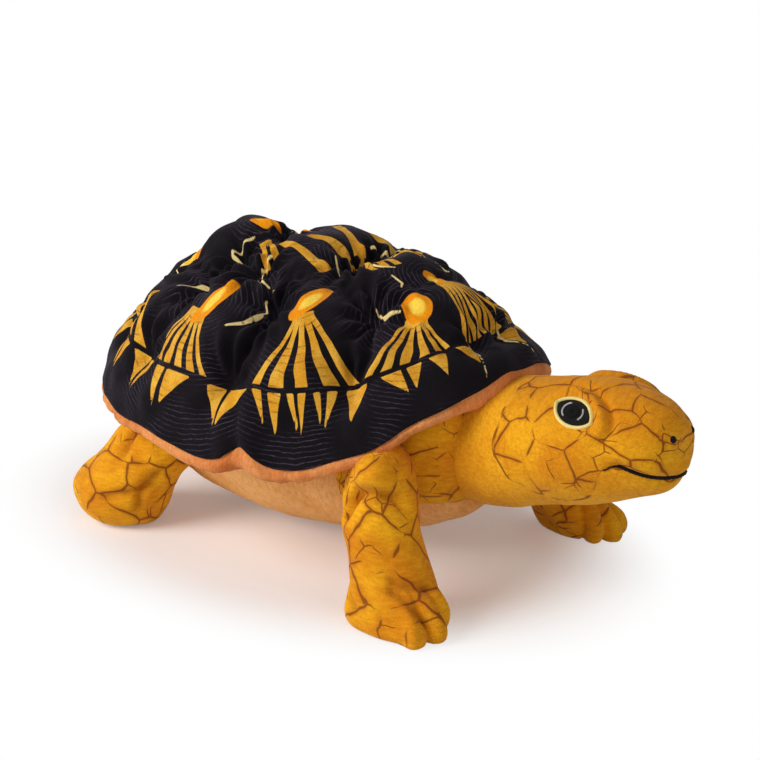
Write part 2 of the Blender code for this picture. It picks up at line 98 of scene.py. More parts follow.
def mixed(share, first, second):
    colours = [part if isinstance(part, bpy.types.NodeSocket) else (*part, 1) for part in (first, second)]
    inputs = {0: share, 6: colours[0], 7: colours[1]}
    return addNode(share.id_data, "Mix", inputs, data_type="RGBA").outputs[2]


def field(tree, name, output="Fac"):
    return addNode(tree, "Attribute", attribute_name=name).outputs[output]


def noise(where, scale, detail=2.0, rough=0.5, output="Fac"):
    inputs = {"Vector": where, "Scale": scale, "Detail": detail, "Roughness": rough}
    return addNode(where.id_data, "TexNoise", inputs).outputs[output]


def patches(where, scale, detail, low, high, start=0.0, end=1.0, rough=0.5):
    return between(noise(where, scale, detail, rough), low, high, start, end)


def feed(socket, value):
    socket.id_data.links.new(value, socket)


def isSeen(tree):
    # 1 for camera, glossy and transmission rays
    path = addNode(tree, "LightPath").outputs
    some = maths("MAXIMUM", path["Is Camera Ray"], path["Is Glossy Ray"])
    return maths("MAXIMUM", some, path["Is Transmission Ray"])


# camera, light and floor

white = (1, 1, 1)
studio = {
    "camera": (483.35, -580.8, 332.2), "aim": (-4.05, 0, 77), "lens": 84.08, "sensor": 36,
    "nearest": 0.01, "farthest": 50,  # in metres
    # brighter at the sides than above
    "roomLight": 0.46, "roomTop": 0.16, "roomTopHeight": 0.9,
    # place, size in metres, and power
    "keyLamp": ((-520, -1000, 760), 0.9, 14.0),
    "fillLamp": ((900, -300, 500), 0.8, 1.2),
    "topLamp": ((-100, 500, 1100), 0.9, 1.0),
    "lampAim": (0, 0, 50),
    "floorHalf": 8.0, "floorDrop": 0.0002,  # in metres
    # the floor's warm glow is painted light, bounced off the toy
    "floorColour": (0.80, 0.80, 0.80), "floorGlow": 0.22, "bounceGlowColour": (1.0, 0.82, 0.74),
    # the oval round the toy outside which the floor is white, in metres
    "shadowMiddle": -0.042, "shadowStretch": 1.45, "fade": (0.078, 0.128),
}


def aimed(name, data, place, target):
    obj = bpy.data.objects.new(name, data)
    obj.location = Vector(place) * mm
    obj.rotation_mode = "QUATERNION"
    obj.rotation_quaternion = (Vector(target) - Vector(place)).to_track_quat("-Z", "Y")
    bpy.context.scene.collection.objects.link(obj)
    return obj


def addLamp(name):
    place, size, power = studio[name]
    lamp = bpy.data.lights.new(name, "AREA")
    lamp.shape = "DISK"
    lamp.size = size
    lamp.energy = power
    aimed(name, lamp, place, studio["lampAim"])


def addCamera():
    camera = bpy.data.cameras.new("productCamera")
    camera.lens = studio["lens"]
    camera.sensor_width = studio["sensor"]
    camera.clip_start, camera.clip_end = studio["nearest"], studio["farthest"]
    bpy.context.scene.camera = aimed("productCamera", camera, studio["camera"], studio["aim"])


def clearTree(owner):
    owner.use_nodes = True
    owner.node_tree.nodes.clear()
    return owner.node_tree


def glow(tree, kind, colour, strength):
    return addNode(tree, kind, {"Color": (*colour, 1), "Strength": strength})


def buildRoom():
    world = bpy.data.worlds.new("whiteRoom")
    tree = clearTree(world)
    height = addNode(tree, "SeparateXYZ", {0: addNode(tree, "TexCoord").outputs["Generated"]}).outputs[2]
    strength = between(height, 0.0, studio["roomTopHeight"], studio["roomLight"], studio["roomTop"])
    room, back = glow(tree, "Background", white, strength), glow(tree, "Background", white, 1.0)
    addNode(tree, "OutputWorld", {0: addNode(tree, "MixShader", {0: isSeen(tree), 1: room, 2: back})})
    bpy.context.scene.world = world


def buildFloor():
    half = studio["floorHalf"]
    mesh = bpy.data.meshes.new("floor")
    corners = [(-half, -half, 0), (half, -half, 0), (half, half, 0), (-half, half, 0)]
    mesh.from_pydata(corners, [], [(0, 1, 2, 3)])
    floor = bpy.data.objects.new("floor", mesh)
    floor.location = (0, 0, -studio["floorDrop"])
    bpy.context.scene.collection.objects.link(floor)
    paper = bpy.data.materials.new("whitePaper")
    tree = clearTree(paper)
    seen = isSeen(tree)
    # a painted warm glow that brightens the floor and stands in for light bounced off the toy; only the
    # camera sees it
    lift = glow(tree, "Emission", studio["bounceGlowColour"], studio["floorGlow"])
    dark = addNode(tree, "BsdfTransparent", {"Color": (0, 0, 0, 1)})
    bounceGlowSeen = addNode(tree, "MixShader", {0: seen, 1: dark, 2: lift})
    matte = addNode(tree, "BsdfDiffuse", {"Color": (*studio["floorColour"], 1)})
    near = addNode(tree, "AddShader", {0: matte, 1: bounceGlowSeen})
    stretch = studio["shadowStretch"]
    place = vectors("MULTIPLY_ADD", addNode(tree, "NewGeometry").outputs["Position"], (1 / stretch, 1, 0),
                    (-studio["shadowMiddle"] / stretch, 0, 0))
    fade = times(between(vectors("LENGTH", place), *studio["fade"]), seen)
    far = addNode(tree, "MixShader", {0: fade, 1: near, 2: glow(tree, "Emission", white, 1.0)})
    addNode(tree, "OutputMaterial", {0: far})
    mesh.materials.append(paper)


addCamera()
for name in ("keyLamp", "fillLamp", "topLamp"):
    addLamp(name)
buildRoom()
buildFloor()
bpy.context.scene.view_settings.view_transform = "Standard"
print("studio ready")

# rings of points, rounded by cubic splines into stuffed forms

form = {"fineSteps": 400, "poleSize": 1e-6, "islandStep": 300, "waveCount": 14, "waveSizes": (0.7, 1.6)}


def unit(ways):
    ways = np.array(ways, float)
    return ways / np.linalg.norm(ways, axis=-1, keepdims=True)


def hill(away, width):
    # 1 at the middle, falling to nothing at about twice the width
    return np.exp(-(away / width) ** 2)


def ramp(values, start, end):
    return np.clip((values - start) / (end - start), 0, 1)


def splineRows(places, count, closed):
    # how much each control point counts at each place, a place being measured in control points
    rows = np.zeros((len(places), count))
    for row, place in enumerate(places):
        first = int(math.floor(place)) if closed else min(int(place), count - 2)
        t = place - first
        parts = ((1 - t) ** 3, 3 * t ** 3 - 6 * t * t + 4, -3 * t ** 3 + 3 * t * t + 3 * t + 1, t ** 3)
        for index, part in zip(range(first - 1, first + 3), parts):
            if closed:
                rows[row, index % count] += part / 6
            elif index < 0:
                rows[row, 0] += part / 3
                rows[row, 1] -= part / 6
            elif index >= count:
                rows[row, count - 1] += part / 3
                rows[row, count - 2] -= part / 6
            else:
                rows[row, index] += part / 6
    return rows


def splined(controls, places, closed=False):
    return np.tensordot(splineRows(places, len(controls), closed), controls, 1)


def roundForm(rings, size):
    # the form over some rings as a grid of points, its rows evenly spaced
    fine = np.linspace(0, len(rings) - 1, form["fineSteps"])
    step = np.linalg.norm(np.diff(splined(rings, fine), axis=0), axis=-1).mean(axis=1)
    run = np.concatenate([[0], np.cumsum(step)])
    rows = splined(rings, np.interp(np.linspace(0, run[-1], size["rows"]), run, fine))
    around = np.arange(size["columns"]) * rings.shape[1] / size["columns"]
    return splined(rows.swapaxes(0, 1), around, True).swapaxes(0, 1)


def growth(points):
    # how much further out a ring's controls stand than its rounded line
    return 6 / (4 + 2 * math.cos(math.tau / points))


def oval(centre, side, rise, halfSide, halfRise, points):
    turn = np.arange(points) * math.tau / points
    out = growth(points)
    return (np.array(centre) + np.outer(np.cos(turn) * halfSide * out, side)
            + np.outer(np.sin(turn) * halfRise * out, rise))


def ballOvals(centre, axis, side, rise, radius, angles, points):
    rings = []
    for angle in np.radians(angles):
        half = radius * math.sin(angle) / growth(points)
        rings.append(oval(centre - axis * radius * math.cos(angle), side, rise, half, half, points))
    return rings


def meshFromGrid(grid):
    # quads over a grid that closes on itself, its poles merged
    rows, columns = grid.shape[:2]
    index = np.arange(rows * columns).reshape(rows, columns)
    for row in (0, -1):
        if np.ptp(grid[row], axis=0).max() < form["poleSize"]:
            index[row] = index[row, 0]
    used, index = np.unique(index, return_inverse=True)
    index = index.reshape(rows, columns)
    following = np.roll(index, -1, axis=1)
    quads = np.stack([index[:-1], following[:-1], following[1:], index[1:]], axis=-1).reshape(-1, 4)
    faces = [[corner for place, corner in enumerate(face) if corner != face[place - 1]]
             for face in quads.tolist()]
    return grid.reshape(-1, 3)[used], faces


def normalsOf(points, faces):
    mesh = bpy.data.meshes.new("measure")
    mesh.from_pydata(points, [], faces)
    normals = np.zeros(len(points) * 3, np.float32)
    mesh.vertices.foreach_get("normal", normals)
    bpy.data.meshes.remove(mesh)
    return normals.reshape(-1, 3).astype(float)


def facing(points, faces, ways):
    # turns every face if they look against the ways
    return faces if (normalsOf(points, faces) * ways).sum() > 0 else [face[::-1] for face in faces]


def stuffed(rings, size, poles=True):
    # a form over rings, with a pole in its first and last one: points, faces and outward normals
    if poles:
        first, last = (np.repeat([ring.mean(axis=0)], len(ring), 0) for ring in (rings[0], rings[-1]))
        rings = [first, *rings, last]
    points, faces = meshFromGrid(roundForm(np.array(rings), size))
    faces = facing(points, faces, points - points.mean(axis=0))
    return points, faces, normalsOf(points, faces)


def chart(points, faces, centre, axis, across, radius, cap=0.76):
    # flat coordinates for a print, rolled round an axis and level on its ends, one for each face corner
    axis, across = unit(axis), unit(across)
    third = np.cross(axis, across)
    local = points - centre
    first = np.repeat([face[0] for face in faces], [len(face) for face in faces])
    corner = np.concatenate(faces)
    angle = np.arctan2(local @ third, local @ across)
    angle = angle[corner] + math.tau * np.round((angle[first] - angle[corner]) / math.tau)
    level = (normalsOf(points, faces) @ axis)[first]
    rolled = np.array((angle * radius, (local @ axis)[corner], 0 * angle))
    ended = np.array(((local @ across)[corner], (local @ third)[corner], 0 * angle))
    return np.where(np.abs(level) > cap, ended + form["islandStep"] * np.sign(level), rolled).T * mm


def keepField(mesh, label, domain, values):
    values = np.asarray(values, np.float32)
    kind, slot = ("FLOAT", "value") if values.ndim == 1 else ("FLOAT_VECTOR", "vector")
    mesh.attributes.new(label, kind, domain).data.foreach_set(slot, values.ravel())


def addPiece(name, points, faces, finish, rest, flat=None, **fields):
    # fields are numbers kept at each point for the finish, and rest is where the point was on the plain form
    mesh = bpy.data.meshes.new(name)
    mesh.from_pydata(points * mm, [], faces)
    for label, values in {"rest": rest * mm, **fields}.items():
        keepField(mesh, label, "POINT", values)
    if flat is not None:
        keepField(mesh, "flat", "CORNER", flat)
    mesh.update()
    piece = bpy.data.objects.new(name, mesh)
    bpy.context.scene.collection.objects.link(piece)
    mesh.shade_smooth()
    mesh.materials.append(finish)
    return piece


def waves(points, size, seed, height):
    # smooth lumps about 0, from seeded waves of about one size
    picker = np.random.default_rng(seed)
    count = form["waveCount"]
    ways = unit(picker.normal(size=(count, 3)))
    lengths = size * picker.uniform(*form["waveSizes"], count)
    starts = picker.uniform(0, math.tau, count)
    lumps = np.sin(points @ (ways * (math.tau / lengths)[:, None]).T + starts).sum(axis=1)
    return lumps / math.sqrt(count) * height


def nearSegment(points, start, end):
    # distance to a segment, and the place along it from 0 to 1
    start, end = np.array(start, float), np.array(end, float)
    way = end - start
    along = np.clip((points - start) @ way / (way @ way), 0, 1)
    return np.linalg.norm(points - start - along[:, None] * way, axis=1), along


def mirrored(places, side):
    return np.array(places, float) * (1, side, 1)


# finishes


def paint(red, green, blue):
    # a colour as it is read off a screen, made linear
    return tuple((part / 255 / 12.92) if part <= 10 else ((part / 255 + 0.055) / 1.055) ** 2.4
                 for part in (red, green, blue))


# patches are noise: scale, detail, from, to, and what it is brought to
pile = {
    # sizes and depths in metres
    "tuftSize": 0.00062, "tuftDepth": 0.00030, "ribSize": 0.0011, "ribDepth": 0.00026,
    "lumpSize": 0.012, "lumpDepth": 0.0004,
    "roughness": 0.92, "sheen": 0.14, "sheenTint": (1.0, 0.72, 0.30),
    "clouds": (38, 3.0, 0.32, 0.62, 0.0, 1.0, 0.55), "pileShading": (0.38, 0.60),
    # painted shade in the hollows of the pile, redder, and a painted highlight on its tips
    "hollowShadeTint": (0.90, 0.80, 0.60), "tipHighlightTint": (1.08, 1.13, 1.25),
    # how the ribs are stretched on each part
    "skinRibs": (0.25, 0.25, 1.0), "headRibs": (0.8, 0.25, 0.8), "bellyRibs": (1.0, 0.3, 0.3),
    "liningRibs": (1.0, 1.0, 0.3), "shellRibs": (0.5, 0.5, 0.5),
}
crackle = {
    # sizes, widths and depths in metres
    "cell": 0.0172, "smallCell": 0.0094, "halfWidth": 0.00040, "smallShare": 0.8, "randomness": 0.92,
    # size and reach of the bends in the lines
    "bends": ((0.016, 0.0050), (0.0042, 0.0014)),
    "lineEdge": (-0.0002, 0.00022), "stainEdge": (-0.0017, 0.0004),
    "present": (85, 1.0, 0.30, 0.52, -0.5, 1.15), "fewPresent": (66, 0.0, 0.53, 0.67, -0.7, 1.0),
    "borderBroken": (90, 1.0, 0.40, 0.52), "within": (-0.4, 0.4), "border": (0.75, 0.35),
    "crown": (0.080, 0.102, 1.0, 0.15),  # painted shade: the head is drawn darker towards its top
    "pressed": -0.00012,
    # colour and stain are the print; the last colour is painted shade for the creases of the legs
    "colour": (126, 60, 9), "stain": (196, 112, 8), "fold": (150, 80, 4),
    "lineShare": 0.86, "stainShare": 0.55, "foldShare": 0.50,
}
skinColours = {
    "skin": ((239, 169, 17), (218, 136, 6)), "throat": ((241, 170, 24), (229, 152, 12)),
    "belly": ((250, 186, 114), (240, 167, 90)), "lining": ((226, 146, 84), (196, 106, 48)),
}


def newFinish(name, roughness, sheen, sheenTint, specular=0.25, sheenRoughness=0.45):
    finish = bpy.data.materials.new(name)
    finish.use_nodes = True
    shader = finish.node_tree.nodes["Principled BSDF"]
    for label, value in {"Roughness": roughness, "Specular IOR Level": specular, "Sheen Weight": sheen,
                         "Sheen Roughness": sheenRoughness, "Sheen Tint": (*sheenTint, 1)}.items():
        shader.inputs[label].default_value = value
    return finish, finish.node_tree, shader


def bumped(shader, height, strength=1.0):
    inputs = {"Height": height, "Strength": strength, "Distance": 1.0}
    feed(shader.inputs["Normal"], addNode(height.id_data, "Bump", inputs).outputs[0])


def pileBump(where, shader, ribs, extra=None, depth=1.0):
    # tufts, knitted ribs and soft lumps, with an extra height in metres
    tufts = noise(where, 1 / pile["tuftSize"], 1.5, 0.6)
    rows = noise(vectors("MULTIPLY", where, ribs), 1 / pile["ribSize"], 1.0)
    height = times(tufts, pile["tuftDepth"] * depth)
    height = timesPlus(rows, pile["ribDepth"] * depth, height)
    height = timesPlus(noise(where, 1 / pile["lumpSize"], 1.0), pile["lumpDepth"] * depth, height)
    bumped(shader, height if extra is None else maths("ADD", height, extra))
    return tufts, rows


def veloured(where, light, dark, tufts, rows, crownShadeFactor=1.0):
    # cloudy colour with the tufts and ribs showing in it, painted shade in the pile's hollows and a painted
    # highlight on its tips; a factor below 1 adds painted shade towards the dark tone
    base = mixed(times(patches(where, *pile["clouds"]), crownShadeFactor), dark, light)
    # painted shade and highlight that follow the pile bump
    pileShading = between(timesPlus(rows, 0.5, times(tufts, 0.5)), *pile["pileShading"], kind="LINEAR")
    return vectors("MULTIPLY", base, mixed(pileShading, pile["hollowShadeTint"], pile["tipHighlightTint"]))


def crackleLines(tree, where):
    # broken lines of a crazed print: 1 on a line, and a wider stain round it
    flat = field(tree, "flat", "Vector")
    for size, reach in crackle["bends"]:
        bend = vectors("SUBTRACT", noise(where, 1 / size, 0.0, output="Color"), (0.5, 0.5, 0.5))
        flat = vectors("MULTIPLY_ADD", bend, (reach,) * 3, flat)

    def lines(cell, halfWidth, presence, *edges):
        inputs = {"Vector": flat, "Scale": 1 / cell, "Randomness": crackle["randomness"]}
        cells = addNode(tree, "TexVoronoi", inputs, voronoi_dimensions="2D", feature="DISTANCE_TO_EDGE")
        over = maths("SUBTRACT", times(presence, halfWidth / cell), cells.outputs["Distance"])
        return [between(over, start / cell, end / cell) for start, end in edges]

    there = patches(where, *crackle["present"])
    main, stain = lines(crackle["cell"], crackle["halfWidth"], there, crackle["lineEdge"],
                        crackle["stainEdge"])
    small, = lines(crackle["smallCell"], crackle["halfWidth"] * crackle["smallShare"],
                   patches(where, *crackle["fewPresent"]), crackle["lineEdge"])
    return maths("MAXIMUM", main, small), maths("MULTIPLY", stain, there, use_clamp=True)


def tones(label):
    return [paint(*colour) for colour in skinColours[label]]


def plainVelour(name, label):
    finish, tree, shader = newFinish(name, pile["roughness"], pile["sheen"], pile["sheenTint"])
    where = field(tree, "rest", "Vector")
    feed(shader.inputs["Base Color"],
         veloured(where, *tones(label), *pileBump(where, shader, pile[label + "Ribs"])))
    return finish


def printedVelour(name, ribs, edged=False):
    # an edged print gives way to the plain throat where the field "printEdge" is negative
    finish, tree, shader = newFinish(name, pile["roughness"], pile["sheen"], pile["sheenTint"])
    where = field(tree, "rest", "Vector")
    light, dark = tones("skin")
    crownShadeFactor = 1.0
    line, stain = crackleLines(tree, where)
    if edged:
        inside = field(tree, "printEdge")
        within = between(inside, *crackle["within"])
        line, stain = times(line, within), times(stain, within)
        border = between(maths("ABSOLUTE", inside), *crackle["border"])
        line = maths("MAXIMUM", line, times(border, patches(where, *crackle["borderBroken"])))
        # painted shade: the top of the head is drawn darker
        crownShadeFactor = between(addNode(tree, "SeparateXYZ", {0: where}).outputs[2], *crackle["crown"])
        throatLight, throatDark = tones("throat")
        light, dark = mixed(within, throatLight, light), mixed(within, throatDark, dark)
    tufts, rows = pileBump(where, shader, ribs, times(line, crackle["pressed"]))
    colour = veloured(where, light, dark, tufts, rows, crownShadeFactor)
    # the print's stain, painted shade in the leg creases, then the print lines
    for share, strength, tint in ((stain, "stainShare", "stain"), (field(tree, "fold"), "foldShare", "fold"),
                                  (line, "lineShare", "colour")):
        colour = mixed(times(share, crackle[strength]), colour, paint(*crackle[tint]))
    feed(shader.inputs["Base Color"], colour)
    return finish


finishes = {
    "print": printedVelour("crackleVelour", pile["skinRibs"]),
    "headPrint": printedVelour("crackleVelourHead", pile["headRibs"], edged=True),
    "belly": plainVelour("peachVelour", "belly"),
    "lining": plainVelour("tanVelour", "lining"),
}
print("velours ready")

# shell cover: a stuffed dome, tacked down at the corners of its scutes and puffed up between

shell = {
    "centre": -41.55, "halfLength": 115.5, "halfWidth": 85.0, "top": 141.0,
    "rimLow": 60.0, "rimFront": 106.0,
    "rimShares": (1.00, 0.61, -0.09, 0.02, -0.02, 0.11, 0.43),
    # shares of the plan and of the rise
    "rings": ((1.0, 0.0), (0.97, 0.15), (0.86, 0.38), (0.68, 0.66), (0.42, 0.90), (0.16, 1.0), (0.0, 1.0)),
    "frontPower": 2.1, "backPower": 2.0,
    "rows": 150, "columns": 560,
    "thickness": 0.0016,  # in metres
    "puff": 5.8, "puffWidth": 9.5, "sink": 1.6,
    "calmFrom": 0.97, "calmBelow": 0.16, "calmLeast": 0.12,
    "tackDepth": 6.5, "tackWidth": 5.5, "tackPull": 3.2, "tackReach": 14.0,
    "puckers": 2.0, "puckerCount": 9, "puckerAway": 9, "puckerWidth": 6,
    # waves are size, seed and height
    "lumps": (34, 3, 0.9), "fineLumps": (15, 5, 0.40), "gathers": (6.0, 7, 0.85), "gatherWidth": 5,
    # share of the plan where the marginal scutes start
    "bandShare": 0.868, "bandWidth": 0.02, "bandDepth": 0.7,
    # a fold in the near side, over the front of the belly
    "foldLine": ((-14, -84, 62), (-24, -70, 92)), "foldDepth": 2.8, "foldWidth": 4.6,
    "ridge": 2.2, "ridgeAway": 8, "ridgeWidth": 5,
    # where the near rim is drawn up at that fold: turn, width, lift
    "rimLifts": ((75, 4.6, 7.5), (86, 5, -2.0)), "rimFrom": 0.80, "rimWaves": (30, 11, 0.9), "rimStep": 4,
}
# middles of the scutes, (along, out from the middle line, how much larger it is than its neighbours)
scutes = (
    (-128, 0, 3), (-80, 0, 5), (-33, 0, 5), (5, 0, 3), (46, 0, 2),
    (47, 46, 0), (-2, 58, 0), (-52, 62, 0), (-107, 48, 0),
)
tacks = ((-110, 33), (-74, 43), (-46, 36), (-25, 50), (19, 32.5), (-9, 14), (-68, 26), (-122, 47),
         (-32, 74), (27, 58), (60, 10), (-92, 66), (-58, 4), (-10, 2))
# places where the cover hangs slack: (along, out, reach, depth)
slack = ((-134, 0, 22, 10.0), (-69, 19, 10, 6.0), (-34, 2, 20, 3.4), (60, 0, 15, 5.0), (42, 38, 14, 4.5),
         (-95, 8, 11, -3.8), (64, 26, 9, 1.5))

# areolas: (along, out, half length, half width, how far the long side leans)
areolas = (
    (33, 20, 7.0, 6.0, 0), (-7, 42, 9.5, 4.2, -68), (-53, 53, 10.0, 4.2, -48), (-104, 22, 9.5, 4.2, -50),
    (-73, 0, 7.5, 5.5, 0), (-46, 0, 4.5, 3.2, 0), (-11, 0, 4.5, 3.2, 0), (26, 0, 5.0, 3.6, 0),
    (-126, 0, 6.0, 4.0, 0),
)
# fans of rays: collar, first foot, last foot (each along and out), rays, half width of the collar
fans = (
    ((36, 24), (28, 53), (62, 19), 6, 5.0),
    ((-5, 48), (-22, 72), (35, 53), 5, 4.6),
    ((-59, 57), (-89, 67), (-36, 76), 6, 6.0),
    ((-107, 36), (-133, 50), (-92, 64), 4, 4.5),
    ((-64, 12), (-50, 31), (-42, 24), 2, 3.0),
    ((-45, 19), (-17, 29), (-16, 19), 1, 1.8),
    ((-37, 9), (-17, 9), (-22, 0), 1, 2.4),
    ((-15, 3), (3, 17), (11, 5), 3, 3.0),
    ((31, 0), (62, 17), (67, 1), 5, 4.0),
    ((-131, 0), (-146, 24), (-152, 2), 4, 3.0),
)
# wedges on the marginal scutes: top from and to, and point, in degrees from the front, then how far down
wedges = (
    (17, 8, 12, 0.955), (26, 20, 23, 0.95), (33, 28, 32.2, 0.958), (40.5, 34.5, 34.2, 0.958),
    (50.5, 44, 49, 0.968), (54.5, 52, 55.3, 0.973), (57.8, 56, 55.8, 0.973), (61.6, 59.4, 60.8, 0.979),
    (64.6, 62.6, 61.2, 0.979), (70, 66, 66.6, 0.977), (74.6, 71.6, 69.6, 0.965), (84, 76, 83.8, 0.962),
    (89.4, 85, 84.4, 0.962), (103, 94, 102, 0.957), (110.4, 104.4, 104, 0.968), (118, 113, 117, 0.96),
    (124.5, 119.5, 118, 0.96), (133, 127, 132, 0.96), (139.5, 134.5, 133, 0.96), (150, 145, 149, 0.96),
    (156, 151.5, 150, 0.96), (168, 162, 166, 0.96), (175, 170, 168, 0.96),
)
# short pale lines printed where scutes meet, each a bent row of places (along, out)
paleLines = (
    ((-70, 12), (-73, 18), (-75, 24), (-67, 25), (-56, 35)),
    ((-45, 27), (-49, 32), (-47, 38), (-38, 41), (-29, 43)),
    ((-86, 44), (-82, 42), (-77, 41), (-68, 48)), ((-40, 60), (-35, 57), (-30, 52), (-31, 47)),
    ((2, 12), (8, 13), (13, 10)), ((17, 29), (23, 30), (29, 26)), ((-19, 13), (-15, 17), (-8, 24)),
    ((15, 15), (21, 15), (22, 17)), ((56, 12), (62, 12), (70, 18)), ((-112, 20), (-104, 25), (-101, 32)),
)
shellPrint = {
    "black": (12, 8, 13), "ring": (84, 72, 92), "ringSpacing": 2.1, "tickSpacing": 3.4,
    "ray": (228, 172, 60), "rayDeep": (214, 150, 38), "tick": (120, 66, 22),
    "areolaRim": (238, 146, 14), "areolaHeart": (251, 209, 76), "pale": (250, 222, 150),
    "roughness": 0.88, "sheen": 0.05, "sheenTint": (0.86, 0.70, 0.90), "specular": 0.09,
    "sheenRoughness": 0.55, "wornSheen": (0.075, 0.02), "pileDepth": 0.9, "grain": (0.35, 0.65, 0.86, 1.10),
    "worn": (32, 2.0, 0.42, 0.66), "faint": (45, 1.0, 0.42, 0.66), "fine": (420, 1.0, 0.30, 0.70, 0.3, 1.0),
    "wobble": 3.4, "wobbleScale": 90, "ringLine": (0.62, 0.98), "ringShare": 0.58,
    # the rays leave the collar as one and part on the way down
    "duty": (0.02, 0.40, 0.55, 0.285), "sway": (0.20, -0.10), "swayScale": 70, "rayEdge": 0.012,
    "fanEdge": 0.3, "lowerGap": 0.006, "lowerEdge": 0.003, "fanSpread": 1.35, "fanPast": 1.12,
    "fanBefore": 0.06, "wedgeEdge": (-0.05, 0.20), "wedgeGap": 0.006, "spreadEnd": 1.4,
    # how badly a place suits a fan, before its collar and past its feet
    "beforeCost": 5, "pastCost": 3, "pastFrom": 1.15,
    # millimetres in a degree at the rim, and room above and below in a wedge
    "wedgeDegree": 1.75, "wedgeTop": 20, "wedgePoint": 9,
    "slant": 1.6, "some": (95, 1.0, 0.44, 0.60), "tickLine": (0.55, 0.98), "tickShare": 0.62,
    "clouds": (130, 2.0, 0.35, 0.68),
    "spotWobble": 0.16, "spotScale": 160, "spotEdge": (1.10, 1.04), "heartEdge": (0.48, 0.72),
    "paleTaper": 0.5, "paleEdge": (0.72, 0.46), "paleBroken": (260, 1.0, 0.34, 0.44), "paleShare": 0.95,
}
noneNear = 1e9
farOutside = 9.0


def domeRings():
    rings = []
    for planShare, riseShare in shell["rings"]:
        ring = []
        for index in range(12):
            angle = math.tau * index / 12
            cosine, sine = math.cos(angle), math.sin(angle)
            power = 2 / (shell["frontPower"] if cosine > 0 else shell["backPower"])
            out = planShare * growth(12)
            rise = shell["rimShares"][min(index, 12 - index)]
            low = shell["rimLow"] + rise * (shell["rimFront"] - shell["rimLow"])
            ring.append((
                shell["centre"] + math.copysign(abs(cosine) ** power, cosine) * shell["halfLength"] * out,
                math.copysign(abs(sine) ** power, sine) * shell["halfWidth"] * out,
                low + riseShare * (shell["top"] - low)))
        rings.append(ring)
    return rings


def turnAndShare(points):
    # degrees from the front, the same on both sides, and share of the plan
    along = (points[:, 0] - shell["centre"]) / shell["halfLength"]
    out = np.abs(points[:, 1]) / shell["halfWidth"]
    return np.degrees(np.arctan2(out, along)), np.hypot(along, out)


def sidesOf(out):
    return (1, -1) if out else (1,)


def scuteSeams(points):
    # distance from the nearest line between two scutes, seen from above
    away = np.sort([np.hypot(points[:, 0] - along, points[:, 1] - side * out) - larger
                    for along, out, larger in scutes for side in sidesOf(out)], axis=0)
    return (away[1] - away[0]) / 2


def shellForm(points, normals, plan, share):
    # the cover puffed, tacked and slackened off its plain dome
    seam = scuteSeams(points)
    calm = np.clip((shell["calmFrom"] - share) / shell["calmBelow"], shell["calmLeast"], 1)
    stand = (shell["puff"] * (1 - hill(seam, shell["puffWidth"])) - shell["sink"]) * calm
    for along, out in tacks:
        for side in (1, -1):
            dx, dy = points[:, 0] - along, points[:, 1] - side * out
            away = np.hypot(dx, dy)
            stand -= shell["tackDepth"] * hill(away, shell["tackWidth"]) * calm ** 0.5
            stand -= shell["tackPull"] * hill(away, shell["tackReach"]) * calm ** 0.5
            spokes = np.cos(shell["puckerCount"] * np.arctan2(dy, dx) + along)
            around = hill(away - shell["puckerAway"], shell["puckerWidth"])
            stand += shell["puckers"] * spokes * around * calm ** 2
    stand += waves(points, *shell["lumps"]) * calm + waves(points, *shell["fineLumps"])
    gathers = waves(points * (1, 1, 0.5), *shell["gathers"])
    stand += gathers * hill(seam, shell["gatherWidth"]) * calm
    stand -= shell["bandDepth"] * hill(share - shell["bandShare"], shell["bandWidth"])
    for along, out, reach, depth in slack:
        stand -= depth * hill(np.linalg.norm(plan - (along, out), axis=1), reach)
    away, along = nearSegment(points, *shell["foldLine"])
    stand -= shell["foldDepth"] * hill(away, shell["foldWidth"]) * (1 - along)
    stand += shell["ridge"] * hill(away - shell["ridgeAway"], shell["ridgeWidth"]) * (1 - along)
    return points + normals * stand[:, None]


def rayFields(plan):
    # across and down the nearest fan, how many rays it has, and millimetres inside it
    best = np.full(len(plan), noneNear)
    inside = np.full(len(plan), -farOutside)
    across, down, count = np.zeros((3, len(plan)))
    for collar, firstFoot, lastFoot, rays, narrow in fans:
        collar, firstFoot, lastFoot = (np.array(part, float) for part in (collar, firstFoot, lastFoot))
        way = (firstFoot + lastFoot) / 2 - collar
        length = np.linalg.norm(way)
        way /= length
        base = lastFoot - firstFoot
        side = np.array((-way[1], way[0]))
        side *= np.sign(base @ side)
        slope = (base @ way) / (base @ side)  # the feet may stand on a slanting line
        local = plan - collar
        sideways = local @ side
        run = (local @ way - slope * sideways * np.clip(local @ way / length, 0, 1)) / length
        spread = np.clip(run, 0, shellPrint["spreadEnd"]) ** shellPrint["fanSpread"]
        wide = narrow + (base @ side / 2 - narrow) * spread
        over = sideways / wide
        before, past = np.maximum(-run, 0), np.maximum(run - shellPrint["pastFrom"], 0)
        badness = np.maximum(np.abs(over), 1 + shellPrint["beforeCost"] * before)
        badness += shellPrint["pastCost"] * past
        better = badness < best
        best[better] = badness[better]
        across[better], down[better], count[better] = over[better], run[better], rays
        ends = np.minimum(run + shellPrint["fanBefore"], shellPrint["fanPast"] - run) * length
        inside = np.maximum(inside, np.minimum((1 - np.abs(over)) * wide, ends))
    return {"rayAcross": across, "rayDown": down, "rayCount": count, "inFan": inside}


